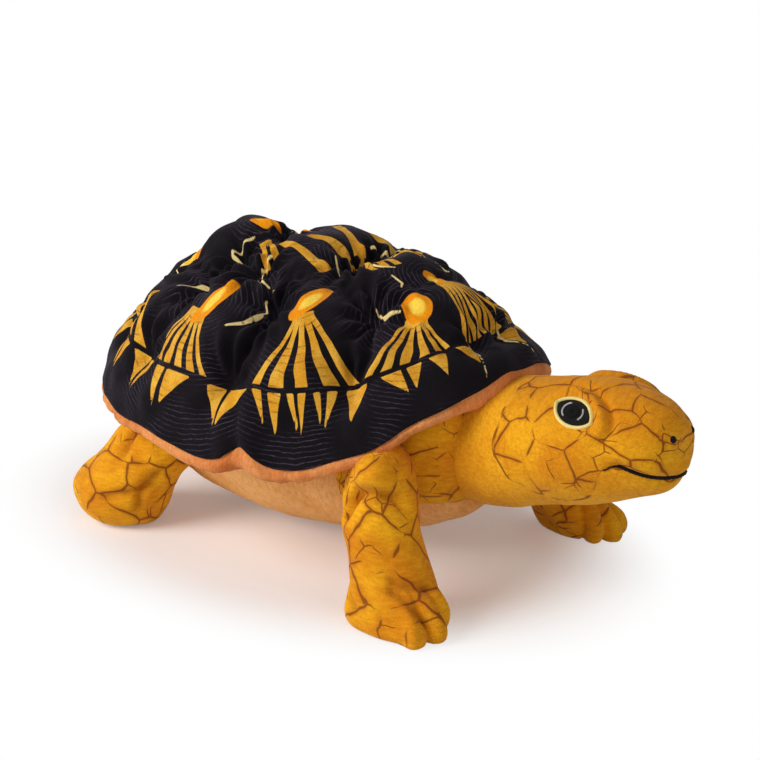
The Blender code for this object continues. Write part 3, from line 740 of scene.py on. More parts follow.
def areolaFields(plan, plain):
    # size of the nearest areola's oval that passes through each point, and the distance from its middle
    size, ringRun = np.full(len(plan), farOutside), np.full(len(plan), noneNear)
    for along, out, halfLength, halfWidth, lean in areolas:
        turn = math.radians(lean)
        local = plan - (along, out)
        first = local @ (math.cos(turn), math.sin(turn))
        second = local @ (-math.sin(turn), math.cos(turn))
        size = np.minimum(size, np.hypot(first / halfLength, second / halfWidth))
        for side in sidesOf(out):
            here = np.argmin(np.hypot(plain[:, 0] - along, plain[:, 1] - side * out))
            ringRun = np.minimum(ringRun, np.linalg.norm(plain - plain[here], axis=1))
    return {"areola": size, "ringRun": ringRun}


def wedgeField(share, turn):
    # millimetres inside the nearest wedge of a marginal scute
    inside = np.full(len(turn), -farOutside)
    top = shell["bandShare"] + shellPrint["wedgeGap"]
    for start, end, point, low in wedges:
        down = (share - top) / (low - top)
        over = np.minimum(start + (point - start) * down - turn, turn - end - (point - end) * down)
        ends = np.minimum(down * shellPrint["wedgeTop"], (1 - down) * shellPrint["wedgePoint"])
        inside = np.maximum(inside, np.minimum(over * shellPrint["wedgeDegree"], ends))
    return inside


def paleField(plan):
    # distance from the nearest pale line, more towards its ends
    nearest = np.full(len(plan), farOutside)
    for places in paleLines:
        for number, (start, end) in enumerate(zip(places, places[1:])):
            away, along = nearSegment(plan, start, end)
            run = (number + along) / (len(places) - 1)
            nearest = np.minimum(nearest, away + shellPrint["paleTaper"] * np.abs(run - 0.5))
    return nearest


def shellFinish():
    look = shellPrint
    finish, tree, shader = newFinish("tortoiseVelboa", look["roughness"], look["sheen"], look["sheenTint"],
                                     look["specular"], look["sheenRoughness"])
    where = field(tree, "rest", "Vector")
    feed(shader.inputs["Sheen Weight"], timesPlus(patches(where, *look["worn"]), *look["wornSheen"]))

    # black ground with faint growth rings
    wobble = noise(where, look["wobbleScale"], 2.0)
    fine = patches(where, *look["fine"])

    def ringed(run, spacing, line, broken):
        turn = times(timesPlus(wobble, look["wobble"], run), math.tau / look[spacing])
        return times(between(maths("SINE", turn), *look[line]), times(patches(where, *look[broken]), fine))

    ringRun = field(tree, "ringRun")
    rings = ringed(ringRun, "ringSpacing", "ringLine", "faint")
    colour = mixed(times(rings, look["ringShare"]), paint(*look["black"]), paint(*look["ring"]))

    # golden rays and wedges
    rayAcross = field(tree, "rayAcross")
    across = maths("ADD", rayAcross, timesPlus(noise(where, look["swayScale"], 1.0), *look["sway"]))
    phase = maths("FRACT", times(timesPlus(across, 0.5, 0.5), field(tree, "rayCount")))
    fromMiddle = maths("ABSOLUTE", maths("SUBTRACT", phase, 0.5))
    duty = between(field(tree, "rayDown"), *look["duty"])
    ray = between(maths("SUBTRACT", duty, fromMiddle), -look["rayEdge"], look["rayEdge"])
    lower = maths("SUBTRACT", shell["bandShare"] - look["lowerGap"], field(tree, "planShare"))
    inFan = between(field(tree, "inFan"), 0.0, look["fanEdge"])
    ray = times(ray, times(inFan, between(lower, 0.0, look["lowerEdge"])))
    gold = maths("MAXIMUM", ray, between(field(tree, "wedge"), *look["wedgeEdge"]))

    # the rings go on over the gold as broken brown lines
    ticks = ringed(timesPlus(rayAcross, look["slant"], ringRun), "tickSpacing", "tickLine", "some")
    goldColour = mixed(patches(where, *look["clouds"]), paint(*look["rayDeep"]), paint(*look["ray"]))
    goldColour = mixed(times(ticks, look["tickShare"]), goldColour, paint(*look["tick"]))
    colour = mixed(gold, colour, goldColour)

    # areolas: orange, paler at heart
    size = timesPlus(noise(where, look["spotScale"], 1.0), look["spotWobble"], field(tree, "areola"))
    heart = between(size, *look["heartEdge"])
    spotColour = mixed(heart, paint(*look["areolaHeart"]), paint(*look["areolaRim"]))
    colour = mixed(between(size, *look["spotEdge"]), colour, spotColour)
    pale = times(between(field(tree, "pale"), *look["paleEdge"]), patches(where, *look["paleBroken"]))
    colour = mixed(times(pale, look["paleShare"]), colour, paint(*look["pale"]))

    tufts, rows = pileBump(where, shader, pile["shellRibs"], depth=look["pileDepth"])
    grain = between(tufts, *look["grain"], kind="LINEAR")
    feed(shader.inputs["Base Color"], vectors("MULTIPLY", colour, grain))
    return finish


def buildShellCover():
    plain, faces = stuffed(domeRings(), shell, poles=False)[:2]
    near = plain[:, 1] < 0
    turn, share = turnAndShare(plain)
    low = ramp(share, shell["rimFrom"], 1) ** 1.5
    for middle, width, lift in shell["rimLifts"]:
        plain[:, 2] += lift * hill(turn - middle, width) * near * low
    plain[:, 2] += waves(plain, *shell["rimWaves"]) * low
    plan = np.abs(plain[:, :2] * (0, 1)) + plain[:, :2] * (1, 0)
    formed = shellForm(plain, normalsOf(plain, faces), plan, share)
    cover = addPiece("shellCover", formed, faces, shellFinish(), plain, planShare=share,
                     wedge=wedgeField(share, turn), pale=paleField(plan), **rayFields(plan),
                     **areolaFields(plan, plain))
    thicken = cover.modifiers.new("cloth", "SOLIDIFY")
    thicken.thickness = shell["thickness"]
    thicken.offset = -1
    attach(cover, "root")
    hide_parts("carapace_cover", "shell_filling")
    return formed[:shell["columns"]:shell["rimStep"]]


rimLine = buildShellCover()
print("shell cover sewn")

# shell lining: a soft roll under the rim, then up inside to the body

lining = {
    "rows": 40, "columns": 420,
    # in from the rim, and up from it
    "profile": ((2.2, 2.4), (1.3, 0.6), (-0.5, -1.4), (-0.8, -3.6), (0.8, -6.0), (4.4, -6.6), (8.4, -3.6),
                (14.0, 0.8), (22.0, 4.0), (34.0, 7.5), (48.0, 10.0)),
    # how the roll swells: at which turn from the front, over what width, how much; the fold is near side only
    "foldSwell": (74, 6, 0.85), "swells": ((0, 17, 1.5), (112, 14, 0.05)), "swellWaves": (40, 21, 0.12),
    "swellInset": 9,
    "gathers": (8, 31, 0.55), "lumps": (15, 33, 0.25), "middle": (-41.55, 0, 110),
}


def buildLining(rim):
    turn = turnAndShare(rim)[0]
    inward = np.cross(alongZ, np.roll(rim, -2, 0) - np.roll(rim, 2, 0))
    inward[:, 2] = 0
    inward = unit(inward)
    middle, width, more = lining["foldSwell"]
    swell = 1 + more * hill(turn - middle, width) * (rim[:, 1] < 0)
    for middle, width, more in lining["swells"]:
        swell += more * hill(turn - middle, width)
    swell += waves(rim, *lining["swellWaves"])
    rings = []
    for inset, rise in lining["profile"]:
        grow = swell if inset < lining["swellInset"] and rise < 0 else 1
        ring = rim + inward * np.reshape(inset * (grow if inset > 0 else 1), (-1, 1))
        ring[:, 2] += rise * grow
        rings.append(ring)
    points, faces = meshFromGrid(roundForm(np.array(rings), lining))
    faces = facing(points, faces, points - lining["middle"])
    gathers = np.abs(waves(points * (1, 1, 0.2), *lining["gathers"])) + waves(points, *lining["lumps"])
    formed = points - normalsOf(points, faces) * gathers[:, None]
    piece = addPiece("shellLining", formed, faces, finishes["lining"], points)
    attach(piece, "root")
    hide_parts("shell_underside")


buildLining(rimLine)
print("shell lining sewn")

# body: a stuffed belly of peach velour under a printed chest, with a printed rump

body = {
    "back": -128.05, "length": 190.0, "width": 114.0, "low": 5.0, "high": 104.0,
    # along, across, low side, high side
    "rings": ((0.00, 0.28, 0.32, 0.62), (0.07, 0.62, 0.10, 0.84), (0.24, 0.88, 0.00, 1.00),
              (0.52, 1.00, 0.00, 1.00), (0.76, 0.82, 0.08, 1.00), (0.92, 0.70, 0.20, 0.99),
              (1.00, 0.56, 0.31, 0.92)),
    "rows": 112, "columns": 150,
    "chestSeam": 37.0, "bridgeSeam": 8.95, "rumpPlace": (-108.05, 0, 30.0), "rumpSlope": 42.0,
    "panelPuff": 0.9, "puffWidth": 9, "seamDepth": 1.5, "seamWidth": 1.8,
    "lumps": (42, 41, 0.9), "fineLumps": (17, 43, 0.25), "puckers": (6, 45, 0.35), "puckerWidth": 6,
    "middle": (-60, 0, 55), "printRadius": 46, "printCap": 0.6, "cutDistance": 0.02,
}


def sliced(points, faces, planes):
    # the same form with its faces cut along planes, so that panels part on straight lines
    work = bmesh.new()
    corners = [work.verts.new(point) for point in points]
    for face in faces:
        work.faces.new([corners[corner] for corner in face])
    for place, way in planes:
        everything = work.verts[:] + work.edges[:] + work.faces[:]
        bmesh.ops.bisect_plane(work, geom=everything, plane_co=Vector(place), plane_no=Vector(way),
                               dist=body["cutDistance"])
    work.verts.index_update()
    cutPoints = np.array([corner.co[:] for corner in work.verts])
    cutFaces = [[corner.index for corner in face.verts] for face in work.faces]
    work.free()
    return cutPoints, cutFaces


def buildPanel(name, finish, nodes, formed, points, faces, wanted, axis, across):
    # the faces that are wanted, with only their own points
    faces = [face for face, keep in zip(faces, wanted) if keep]
    used = np.unique(np.concatenate(faces))
    place = {int(old): new for new, old in enumerate(used)}
    faces = [[place[corner] for corner in face] for face in faces]
    formed = formed[used]
    flat = chart(formed, faces, body["middle"], axis, across, body["printRadius"], body["printCap"])
    piece = addPiece(name, formed, faces, finishes[finish], points[used], flat)
    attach(piece, "root")
    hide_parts(*nodes)


def buildBody():
    rings = []
    span = body["high"] - body["low"]
    for along, across, low, high in body["rings"]:
        bottom, top = body["low"] + low * span, body["low"] + high * span
        middle = (body["back"] + along * body["length"], 0, (bottom + top) / 2)
        rings.append(oval(middle, alongY, alongZ, across * body["width"] / 2, (top - bottom) / 2, 10))
    points, faces = stuffed(rings, body)[:2]
    slope = math.radians(body["rumpSlope"])
    rumpWay = (math.sin(slope), 0, math.cos(slope))
    planes = (((body["bridgeSeam"], 0, 0), alongX), ((0, 0, body["chestSeam"]), alongZ),
              (body["rumpPlace"], rumpWay))
    points, faces = sliced(points, faces, planes)
    ahead, above = points[:, 0] - body["bridgeSeam"], points[:, 2] - body["chestSeam"]
    rump = (points - body["rumpPlace"]) @ rumpWay
    chestEdge = np.where((ahead > 0) & (above > 0), np.minimum(ahead, above),
                         np.hypot(np.minimum(ahead, 0), np.minimum(above, 0)))
    seam = np.minimum(chestEdge, np.abs(rump))
    stand = body["panelPuff"] * (1 - hill(seam, body["puffWidth"]))
    stand -= body["seamDepth"] * hill(seam, body["seamWidth"])
    stand += waves(points, *body["lumps"]) + waves(points, *body["fineLumps"])
    # puckers across the seams
    stand += waves(points * (1.0, 1.0, 0.4), *body["puckers"]) * hill(seam, body["puckerWidth"])
    formed = points + normalsOf(points, faces) * stand[:, None]
    centre = np.array([points[face].mean(axis=0) for face in faces])
    inChest = (centre[:, 0] > body["bridgeSeam"]) & (centre[:, 2] > body["chestSeam"])
    inRump = (centre - body["rumpPlace"]) @ rumpWay < 0
    for name, finish, nodes, wanted, axis, across in (
            ("chestSkin", "print", ("chest_skin", "body_filling"), inChest, alongX, alongZ),
            ("rumpSkin", "print", ("rump_skin",), inRump, alongZ, -alongX),
            ("bellyPanel", "belly", ("plastron_panel",), ~inChest & ~inRump, alongX, alongZ)):
        buildPanel(name, finish, nodes, formed, points, faces, wanted, axis, across)


buildBody()
print("body stuffed")

# legs: round tops sewn into the body's sides, and blunt feet with toes in front

legs = {
    "front": {
        "hip": (46.95, 51.0, 56.0), "foot": (60.95, 68.0, 0.0), "ball": 18.5, "width": 34.0,
        "footLength": 50.0, "footWidth": 31.0,
        # down, out to the foot, of the limb's width across and deep, and of the foot's size
        "limbs": ((0.52, 0.46, 1.08, 0.95, 0.0), (0.76, 0.76, 1.20, 1.03, 0.0), (0.93, 1.00, 0, 0, 0.97)),
        "soles": (0.78, 0.52),
        "toes": (-34, -6, 26), "toeEdges": (-49, -20, 9), "leanBack": 7.5,
        # place, reach and height
        "bulge": ((53, 64, 63.5), 8.5, 4.6),
        # depth, width, places
        "creases": ((7.0, 2.7, ((40, 68, 40), (43, 68, 48), (47, 67, 53.5), (52, 66, 55.5),
                                (57, 64, 55.5), (62, 59, 54), (66, 56, 47))),
                    (2.4, 1.8, ((64, 76, 21), (69, 73, 18), (76, 71, 12), (80, 69, 6))),
                    (2.4, 1.8, ((63, 73, 25), (69, 70, 22), (74, 64, 20), (76, 58, 19))),
                    (2.0, 2.0, ((38, 66, 22), (43, 77, 14), (52, 82, 9)))),
    },
    "rear": {
        "hip": (-90.05, 45.0, 43.0), "foot": (-114.05, 58.0, 0.0), "ball": 19.5, "width": 42.0,
        "footLength": 56.0, "footWidth": 46.0,
        "limbs": ((0.36, 0.80, 1.14, 1.06, 0.0), (0.66, 1.08, 0, 0, 1.00), (0.93, 1.02, 0, 0, 0.76)),
        "soles": (0.56, 0.34),
        "toes": (), "toeEdges": (), "leanBack": 0.0, "bulge": ((-116, 58, 50), 17, 5.0),
        "creases": ((2.6, 2.2, ((-84, 60, 34), (-90, 69, 22), (-94, 69, 10))),
                    (2.6, 2.2, ((-95, 48, 60), (-101, 60, 48), (-100, 70, 35))),
                    (2.2, 2.0, ((-86, 62, 26), (-96, 75, 20), (-108, 80, 18)))),
    },
    "angles": (26, 62, 96), "rows": 100, "columns": 120, "soleRise": -0.5,
    "bendStart": 0.05, "bendEnd": 0.62,
    "toeTop": 20.0, "toeSoft": 2.6, "toeFront": (8, 18), "toeReach": 3.0, "toeWidth": 11,
    "edgeDepth": 2.6, "edgeWidth": 3.6, "taper": (5, 0.15),
    "lumpSize": 30, "lumpSeed": 51, "lumpHeight": 0.7, "fineSize": 13, "fineSeed": 53, "fineHeight": 0.22,
    # the seam where the leg is sewn to the body
    "seamShare": 1.05, "seamWidth": 6, "seamWaves": (7, 57, 0.30),
    "leanFrom": 8, "leanTo": 38, "floorGap": 0.15, "soleSoft": 1.05,
    # the print is rolled round the leg, each leg with its own part of it
    "printRadius": 19, "printAcross": 0.2, "sideShift": 0.21, "rearShift": 0.13, "sideStep": 400,
}


def crease(points, places, width):
    # 1 on a line through the points nearest to some places, fading to 0 at its sides and ends
    places = [points[np.argmin(np.linalg.norm(points - place, axis=1))] for place in places]
    deep = np.zeros(len(points))
    steep, least = legs["taper"]
    for number, (start, end) in enumerate(zip(places, places[1:])):
        away, along = nearSegment(points, start, end)
        run = (number + along) / (len(places) - 1)
        taper = np.clip(np.minimum(run, 1 - run) * steep + least, 0, 1)
        deep = np.maximum(deep, hill(away, width) * taper)
    return deep


def legRings(leg, hip, foot):
    axis = unit(foot - hip)
    ahead = unit(alongX - axis * axis[0])
    rings = ballOvals(hip, axis, ahead, np.cross(axis, ahead), leg["ball"], legs["angles"], 6)
    for down, out, wide, deep, footShare in leg["limbs"]:
        centre = hip + (foot - hip) * out
        centre[2] = hip[2] * (1 - down)
        halfSide = (wide * leg["width"] + footShare * leg["footLength"]) / 2
        halfRise = (deep * leg["width"] + footShare * leg["footWidth"]) / 2
        rings.append(oval(centre, alongX, -alongY, halfSide, halfRise, 6))
    for share in leg["soles"]:
        centre = (foot[0], foot[1], legs["soleRise"])
        rings.append(oval(centre, alongX, -alongY, share * leg["footLength"] / 2,
                          share * leg["footWidth"] / 2, 6))
    return rings


def toed(leg, points, foot, side):
    # lobes round the front of the foot, parted by creases
    turn = np.degrees(np.arctan2((points[:, 1] - foot[1]) * side, points[:, 0] - foot[0]))
    low = 1 / (1 + np.exp((points[:, 2] - legs["toeTop"]) / legs["toeSoft"]))
    away = np.hypot(points[:, 0] - foot[0], points[:, 1] - foot[1])
    stand = sum(legs["toeReach"] * hill(turn - toe, legs["toeWidth"]) for toe in leg["toes"])
    stand -= sum(legs["edgeDepth"] * hill(turn - edge, legs["edgeWidth"]) for edge in leg["toeEdges"])
    return stand * low * ramp(away, *legs["toeFront"])


def buildLeg(row, name, side):
    leg = legs[row]
    hip, foot = mirrored(leg["hip"], side), mirrored(leg["foot"], side)
    points, faces, normals = stuffed(legRings(leg, hip, foot), legs)
    rest = mirrored(points, side)
    stand = waves(rest, legs["lumpSize"], legs["lumpSeed"] + side, legs["lumpHeight"])
    stand += waves(rest, legs["fineSize"], legs["fineSeed"] + side, legs["fineHeight"])
    stand += toed(leg, points, foot, side)
    # painted shade: how deep each point lies in a crease, which the finish darkens
    fold = np.zeros(len(points))
    for depth, width, places in leg["creases"]:
        pressed = crease(rest, places, width)
        stand -= depth * pressed
        fold = np.maximum(fold, pressed)
    bulge, reach, height = leg["bulge"]
    stand += height * hill(np.linalg.norm(rest - bulge, axis=1), reach)
    sewn = np.linalg.norm(points - hip, axis=1) - leg["ball"] * legs["seamShare"]
    stand += waves(rest, *legs["seamWaves"]) * hill(sewn, legs["seamWidth"])
    formed = points + normals * stand[:, None]
    formed[:, 0] -= leg["leanBack"] * ramp(points[:, 2], legs["leanFrom"], legs["leanTo"]) ** 1.5
    # the sole is pressed flat on the floor
    gap, soft = legs["floorGap"], legs["soleSoft"]
    pressed = gap + soft * np.exp((formed[:, 2] - gap - soft) / soft)
    formed[:, 2] = np.where(formed[:, 2] < gap + soft, pressed, formed[:, 2])
    flat = chart(points, faces, hip, foot - hip, (legs["printAcross"], side, 0), legs["printRadius"])
    flat += (legs["sideShift"] * side, legs["rearShift"] * (row == "rear"), 0)
    rest += (0, legs["sideStep"] * side, 0)
    piece = addPiece(name, formed, faces, finishes["print"], rest, flat, fold=fold)
    label = row + ("_right" if side < 0 else "_left") + "_leg"
    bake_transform(piece)
    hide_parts(label + "_skin", label + "_filling")


for row in ("front", "rear"):
    buildLeg(row, row + "RightLeg", -1)
    buildLeg(row, row + "LeftLeg", 1)
print("legs stuffed")

# head: a stuffed bulb with brows, cheeks and a blunt snout

headShape = {
    "neck": (58.95, 0, 64.0), "neckBall": 30.0, "neckAngles": (28, 58, 88), "neckStep": 14, "neckShare": 0.97,
    "joint": (80.95, 0, 67.0), "length": 75.0, "width": 61.0, "height": 56.0, "rise": 19.0,
    "bendStart": 70.0, "bendEnd": 92.0, "blunt": 0.010, "bluntFrom": 140,
    # along, rise, wide, high
    "rings": ((0.16, 0.20, 0.95, 0.97), (0.36, 0.46, 1.00, 1.00), (0.56, 0.68, 0.93, 0.98),
              (0.76, 0.80, 0.77, 0.85), (0.92, 0.90, 0.54, 0.62), (0.985, 0.96, 0.28, 0.34)),
    "rows": 176, "columns": 190,
    "lumps": (38, 71, 0.5), "fineLumps": (14, 73, 0.16),
    "eye": (114.0, 22.0, 95.5), "eyeOutward": (0.105, 0.747, 0.656), "eyeLean": -17.0, "eyeDepth": 16,
    # lids and the groove over them, in shares of this oval round the eye
    "lidOval": (13.356, 10.074), "lidRise": 0.8,
    "lid": (1.02, 0.20, 2.6), "groove": (1.38, 0.12, 2.0), "socket": (0.0, 0.7, 0.7),
    "lidShare": (0.62, 0.55, 0.2, 0.15), "grooveShare": (1.2, -0.2),
    # mouth, from its tail behind the corner round to the middle of the snout
    "mouth": ((131.3, 24.5, 74.6), (133.8, 23.8, 76.6), (137.0, 22.6, 77.5), (141.6, 19.6, 75.4),
              (145.4, 15.9, 73.4), (150.2, 8.5, 71.3), (152.4, 1.6, 71.2)),
    "mouthFrom": (130, 138), "mouthDepth": 1.5, "mouthWidth": 1.7,
    "lipHeight": 0.9, "lipAway": 4.5, "lipWidth": 3.2,
    # chin and cheek: place, size, height
    "bulges": (((147, 5, 66), (11, 9, 7), 1.6), ((112, 25, 70), (16, 12, 13), 1.0)),
    # the top of the head slopes down to the front
    "slope": 4.0, "slopeAlong": (94, 128), "slopeUp": (80, 98),
    "nostril": (153.8, 8.2, 88.2), "nostrilOutward": (0.93, 0.36, 0.06),
    # edge of the print, seen from the side: along and up
    "printEdge": ((72, 112), (79, 98), (80.5, 86.4), (80.0, 76), (81.5, 70), (88.2, 62.0), (99.6, 57.0),
                  (111, 54.5), (121.5, 59.5), (127.4, 67.3), (131.1, 74.0), (134.5, 76.6), (141.6, 75.2),
                  (150.2, 71.2), (165, 70.5), (175, 120), (72, 125)),
    "edgeWaves": (12, 81, 0.8), "printMiddle": (0, 0, 74), "printRadius": 29,
}


def outlineField(points, corners):
    # millimetres inside a closed outline seen from the side, negative outside
    x, z = points[:, 0], points[:, 2]
    nearest = np.full(len(x), noneNear)
    inside = np.zeros(len(x), bool)
    for (x1, z1), (x2, z2) in zip(corners, corners[1:] + corners[:1]):
        away, along = nearSegment(points[:, ::2], (x1, z1), (x2, z2))
        nearest = np.minimum(nearest, away)
        if z1 != z2:
            inside ^= ((z1 > z) != (z2 > z)) & (x < x1 + (z - z1) * (x2 - x1) / (z2 - z1))
    return np.where(inside, nearest, -nearest)


def headRings():
    joint, neck = (np.array(headShape[part]) for part in ("joint", "neck"))
    way = unit(joint - neck)
    rise = np.cross(way, alongY)
    rings = ballOvals(neck, way, alongY, rise, headShape["neckBall"], headShape["neckAngles"], 10)
    half = headShape["neckBall"] * headShape["neckShare"]
    rings.append(oval(neck + way * headShape["neckStep"], alongY, rise, half, half, 10))
    for along, rise, wide, high in headShape["rings"]:
        centre = joint + (along * headShape["length"], 0, rise * headShape["rise"])
        rings.append(oval(centre, alongY, alongZ, wide * headShape["width"] / 2,
                          high * headShape["height"] / 2, 10))
    tip = rings[-1].copy()
    tip[:, 0] = joint[0] + headShape["length"]
    return [*rings, tip]


def eyeFrame(side):
    # middle, long, short and outward ways of an eye
    outward = unit(mirrored(headShape["eyeOutward"], side))
    forward = unit(alongX - outward * outward[0])
    upward = np.cross(outward, forward) * side
    upward *= np.sign(upward[2])
    lean = math.radians(headShape["eyeLean"])
    long = forward * math.cos(lean) + upward * math.sin(lean)
    short = upward * math.cos(lean) - forward * math.sin(lean)
    return mirrored(headShape["eye"], side), long, short, outward


def lidded(points, side):
    # swollen lids, a groove over them and the hollow that the eye lies in
    middle, long, short, outward = eyeFrame(side)
    local = points - middle
    near = np.clip(1 - np.abs(local @ outward) / headShape["eyeDepth"], 0, 1) ** 0.5
    a = local @ long / headShape["lidOval"][0]
    b = (local @ short - headShape["lidRise"]) / headShape["lidOval"][1]
    size = np.hypot(a, b)
    base, more, smallest, least = headShape["lidShare"]
    above = np.clip(base + more * b / np.maximum(size, smallest), least, 1)
    steep, shift = headShape["grooveShare"]
    shapes = (headShape[part] for part in ("lid", "groove", "socket"))
    lid, groove, socket = (height * hill(size - place, width) for place, width, height in shapes)
    stand = lid * above - groove * np.clip(above * steep + shift, 0, 1) - socket
    return stand * near * (np.sign(points[:, 1]) == side)


def lipped(points, side):
    # the mouth's furrow, and the upper lip over it
    mouth = mirrored(headShape["mouth"], side)
    away = np.full(len(points), noneNear)
    rise = np.zeros(len(points))
    for start, end in zip(mouth[1:], mouth[2:]):
        here, along = nearSegment(points, start, end)
        level = points[:, 2] - (start[2] + along * (end[2] - start[2]))
        rise = np.where(here < away, level, rise)
        away = np.minimum(away, here)
    lip = headShape["lipHeight"] * hill(away - headShape["lipAway"], headShape["lipWidth"]) * (rise > 0)
    furrow = headShape["mouthDepth"] * hill(away, headShape["mouthWidth"])
    return (lip - furrow) * ramp(points[:, 0], *headShape["mouthFrom"])


def buildHead():
    points, faces = stuffed(headRings(), headShape)[:2]
    points[:, 0] -= headShape["blunt"] * np.maximum(points[:, 0] - headShape["bluntFrom"], 0) ** 2
    stand = waves(points, *headShape["lumps"]) + waves(points, *headShape["fineLumps"])
    for side in (-1, 1):
        stand += lidded(points, side) + lipped(points, side)
        for place, size, height in headShape["bulges"]:
            stand += height * hill(np.linalg.norm((points - mirrored(place, side)) / size, axis=1), 1)
    formed = points + normalsOf(points, faces) * stand[:, None]
    front = ramp(points[:, 0], *headShape["slopeAlong"])
    front = front * front * (3 - 2 * front)
    formed[:, 2] -= headShape["slope"] * front * ramp(points[:, 2], *headShape["slopeUp"])
    edge = outlineField(points, headShape["printEdge"]) + waves(points, *headShape["edgeWaves"])
    flat = chart(points, faces, headShape["printMiddle"], alongX, alongZ, headShape["printRadius"])
    piece = addPiece("headSkin", formed, faces, finishes["headPrint"], points, flat, printEdge=edge)
    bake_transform(piece)
    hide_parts("head_crown", "head_side_right", "head_side_left", "jaw_panel", "head_filling",
                "neck_skin", "neck_filling")
    return BVHTree.FromPolygons(formed.tolist(), faces)


headSurface = buildHead()
print("head stuffed")

# embroidery: satin stitches laid on the head

thread = {
    # size, depth and sway in metres
    "size": 0.00042, "depth": 0.00014, "roughness": 0.62, "bump": 0.8, "swayScale": 900, "sway": 0.0003,
    "roundness": 0.6, "strandShade": (0.15, 0.75), "above": 25, "within": 60,
}
# lit colour and painted-shade colour of each thread, and how much each thread shines
threadColours = {
    "cream": ((255, 236, 150), (236, 202, 98), 0.35),
    "dark": ((22, 18, 19), (9, 8, 9), 0.10),
    "grey": ((214, 208, 202), (120, 116, 116), 0.35),
    "black": ((9, 8, 9), (5, 5, 6), 0.10),
    "brown": ((26, 17, 12), (14, 10, 8), 0.10),
}


def threadFinish(name, light, dark, specular):
    # strands run with the piece's "strand" field, a length in metres across them
    finish, tree, shader = newFinish(name, thread["roughness"], 0.0, white, specular)
    where = field(tree, "rest", "Vector")
    sway = timesPlus(noise(where, thread["swayScale"], 1.0), thread["sway"], field(tree, "strand"))
    turn = maths("SINE", times(sway, math.tau / thread["size"]))
    rounded = maths("POWER", maths("ABSOLUTE", turn), thread["roundness"])
    bumped(shader, times(rounded, thread["depth"]), thread["bump"])
    # painted shade: each strand is drawn darker at its sides, where strands meet, and lighter along its top
    feed(shader.inputs["Base Color"],
         mixed(between(rounded, *thread["strandShade"]), paint(*dark), paint(*light)))
    return finish


threads = {name: threadFinish(name + "Thread", *colours) for name, colours in threadColours.items()}


def onHead(place, outward, lift):
    # a place lifted off the head's surface, which is found against the outward way
    start = Vector(place) + Vector(outward) * thread["above"]
    hit, normal = headSurface.ray_cast(start, -Vector(outward), thread["within"])[:2]
    if hit is None:
        hit, normal = headSurface.find_nearest(Vector(place))[:2]
    return np.array(hit) + np.array(normal) * lift


# outlines are half length, half width, and how far forward and up; arcs are in degrees
eyeBands = {
    "Ring": {"outer": (10.6, 6.8, 0, 0), "inner": (9.0, 5.4, 0, 0), "height": 1.1, "rows": 7,
             "strands": 150, "thread": "cream", "slot": "light_thread"},
    "Iris": {"outer": (9.4, 5.7, 0, 0), "inner": (0.01, 0.01, 0, 0), "height": 0.4, "rows": 9,
             "strands": 110, "thread": "dark", "slot": "dark_thread"},
    "Glint": {"outer": (5.1, 4.3, -0.5, 0.1), "inner": (4.4, 3.65, -0.5, 0.1), "height": 0.85, "rows": 5,
              "strands": 90, "thread": "grey", "slot": "light_thread", "point": 0.0,
              "arcs": ((-34, 60), (126, 252), (326, 382))},
    "Pupil": {"outer": (3.2, 3.0, -0.5, 0.1), "inner": (0.01, 0.01, -0.4, 0.1), "height": 0.85, "rows": 7,
              "strands": 60, "thread": "black", "slot": "black_thread", "point": 0.0},
}
band = {"columns": 144, "sunk": -0.5, "point": 0.45, "swell": (0.10, 0.80), "arcEnd": 14}


def almond(turns, point, halfLength, halfWidth, forward, upward):
    # an outline with softly pointed corners at its two ends
    return np.array((forward + halfLength * np.cos(turns),
                     upward + halfWidth * np.sin(turns) * np.abs(np.sin(turns)) ** point))


def buildEyeBand(part, side):
    # a raised band of satin stitch between two outlines, its first and last rows sunk in the head
    look = eyeBands[part]
    word = "right" if side < 0 else "left"
    middle, long, short, outward = eyeFrame(side)
    columns, rows = band["columns"], look["rows"]
    turns = np.arange(columns) * math.tau / columns
    point = look.get("point", band["point"])
    inner, outer = (almond(turns, point, *look[edge]) for edge in ("inner", "outer"))
    shown = np.ones(columns)
    if "arcs" in look:
        degrees = np.degrees(turns)
        shown = np.max([np.clip(np.minimum(degrees - start, end - degrees) / band["arcEnd"], -0.8, 1)
                        for start, end in look["arcs"]], 0)
    grid = np.zeros((rows + 2, columns, 3))
    for row in range(rows + 2):
        share = min(max((row - 1) / (rows - 1), 0), 1)
        start, span = band["swell"]
        lifts = shown * look["height"] * math.sin(math.pi * (start + span * share)) ** 0.5
        if row in (0, rows + 1):
            lifts = np.full(columns, band["sunk"])
        for column, (a, b) in enumerate((inner * (1 - share) + outer * share).T):
            grid[row, column] = onHead(middle + long * a + short * b, outward, lifts[column])
    points, faces = meshFromGrid(grid)
    strand = np.arange(columns) / columns * look["strands"] * thread["size"] * 0.5
    piece = addPiece("eye" + part + word.title(), points, facing(points, faces, outward),
                     threads[look["thread"]], points, strand=np.tile(strand, rows + 2))
    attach(piece, "head")
    if part != "Glint":
        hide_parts("eye_" + part.lower() + "_" + word)


for side in (-1, 1):
    for part in eyeBands:
        buildEyeBand(part, side)
print("eyes embroidered")

mouthStitches = {
    "length": 3.4, "radius": 0.86, "overlap": 0.42, "slant": 0.22, "tailRadius": 0.3, "tail": (3.0, 7.0),
    "steps": 9, "sides": 8, "pathSteps": 160, "lift": 0.25, "leastRun": 1.0, "tipTurn": 0.12,
    "behind": 120, "widen": 1.6,
}


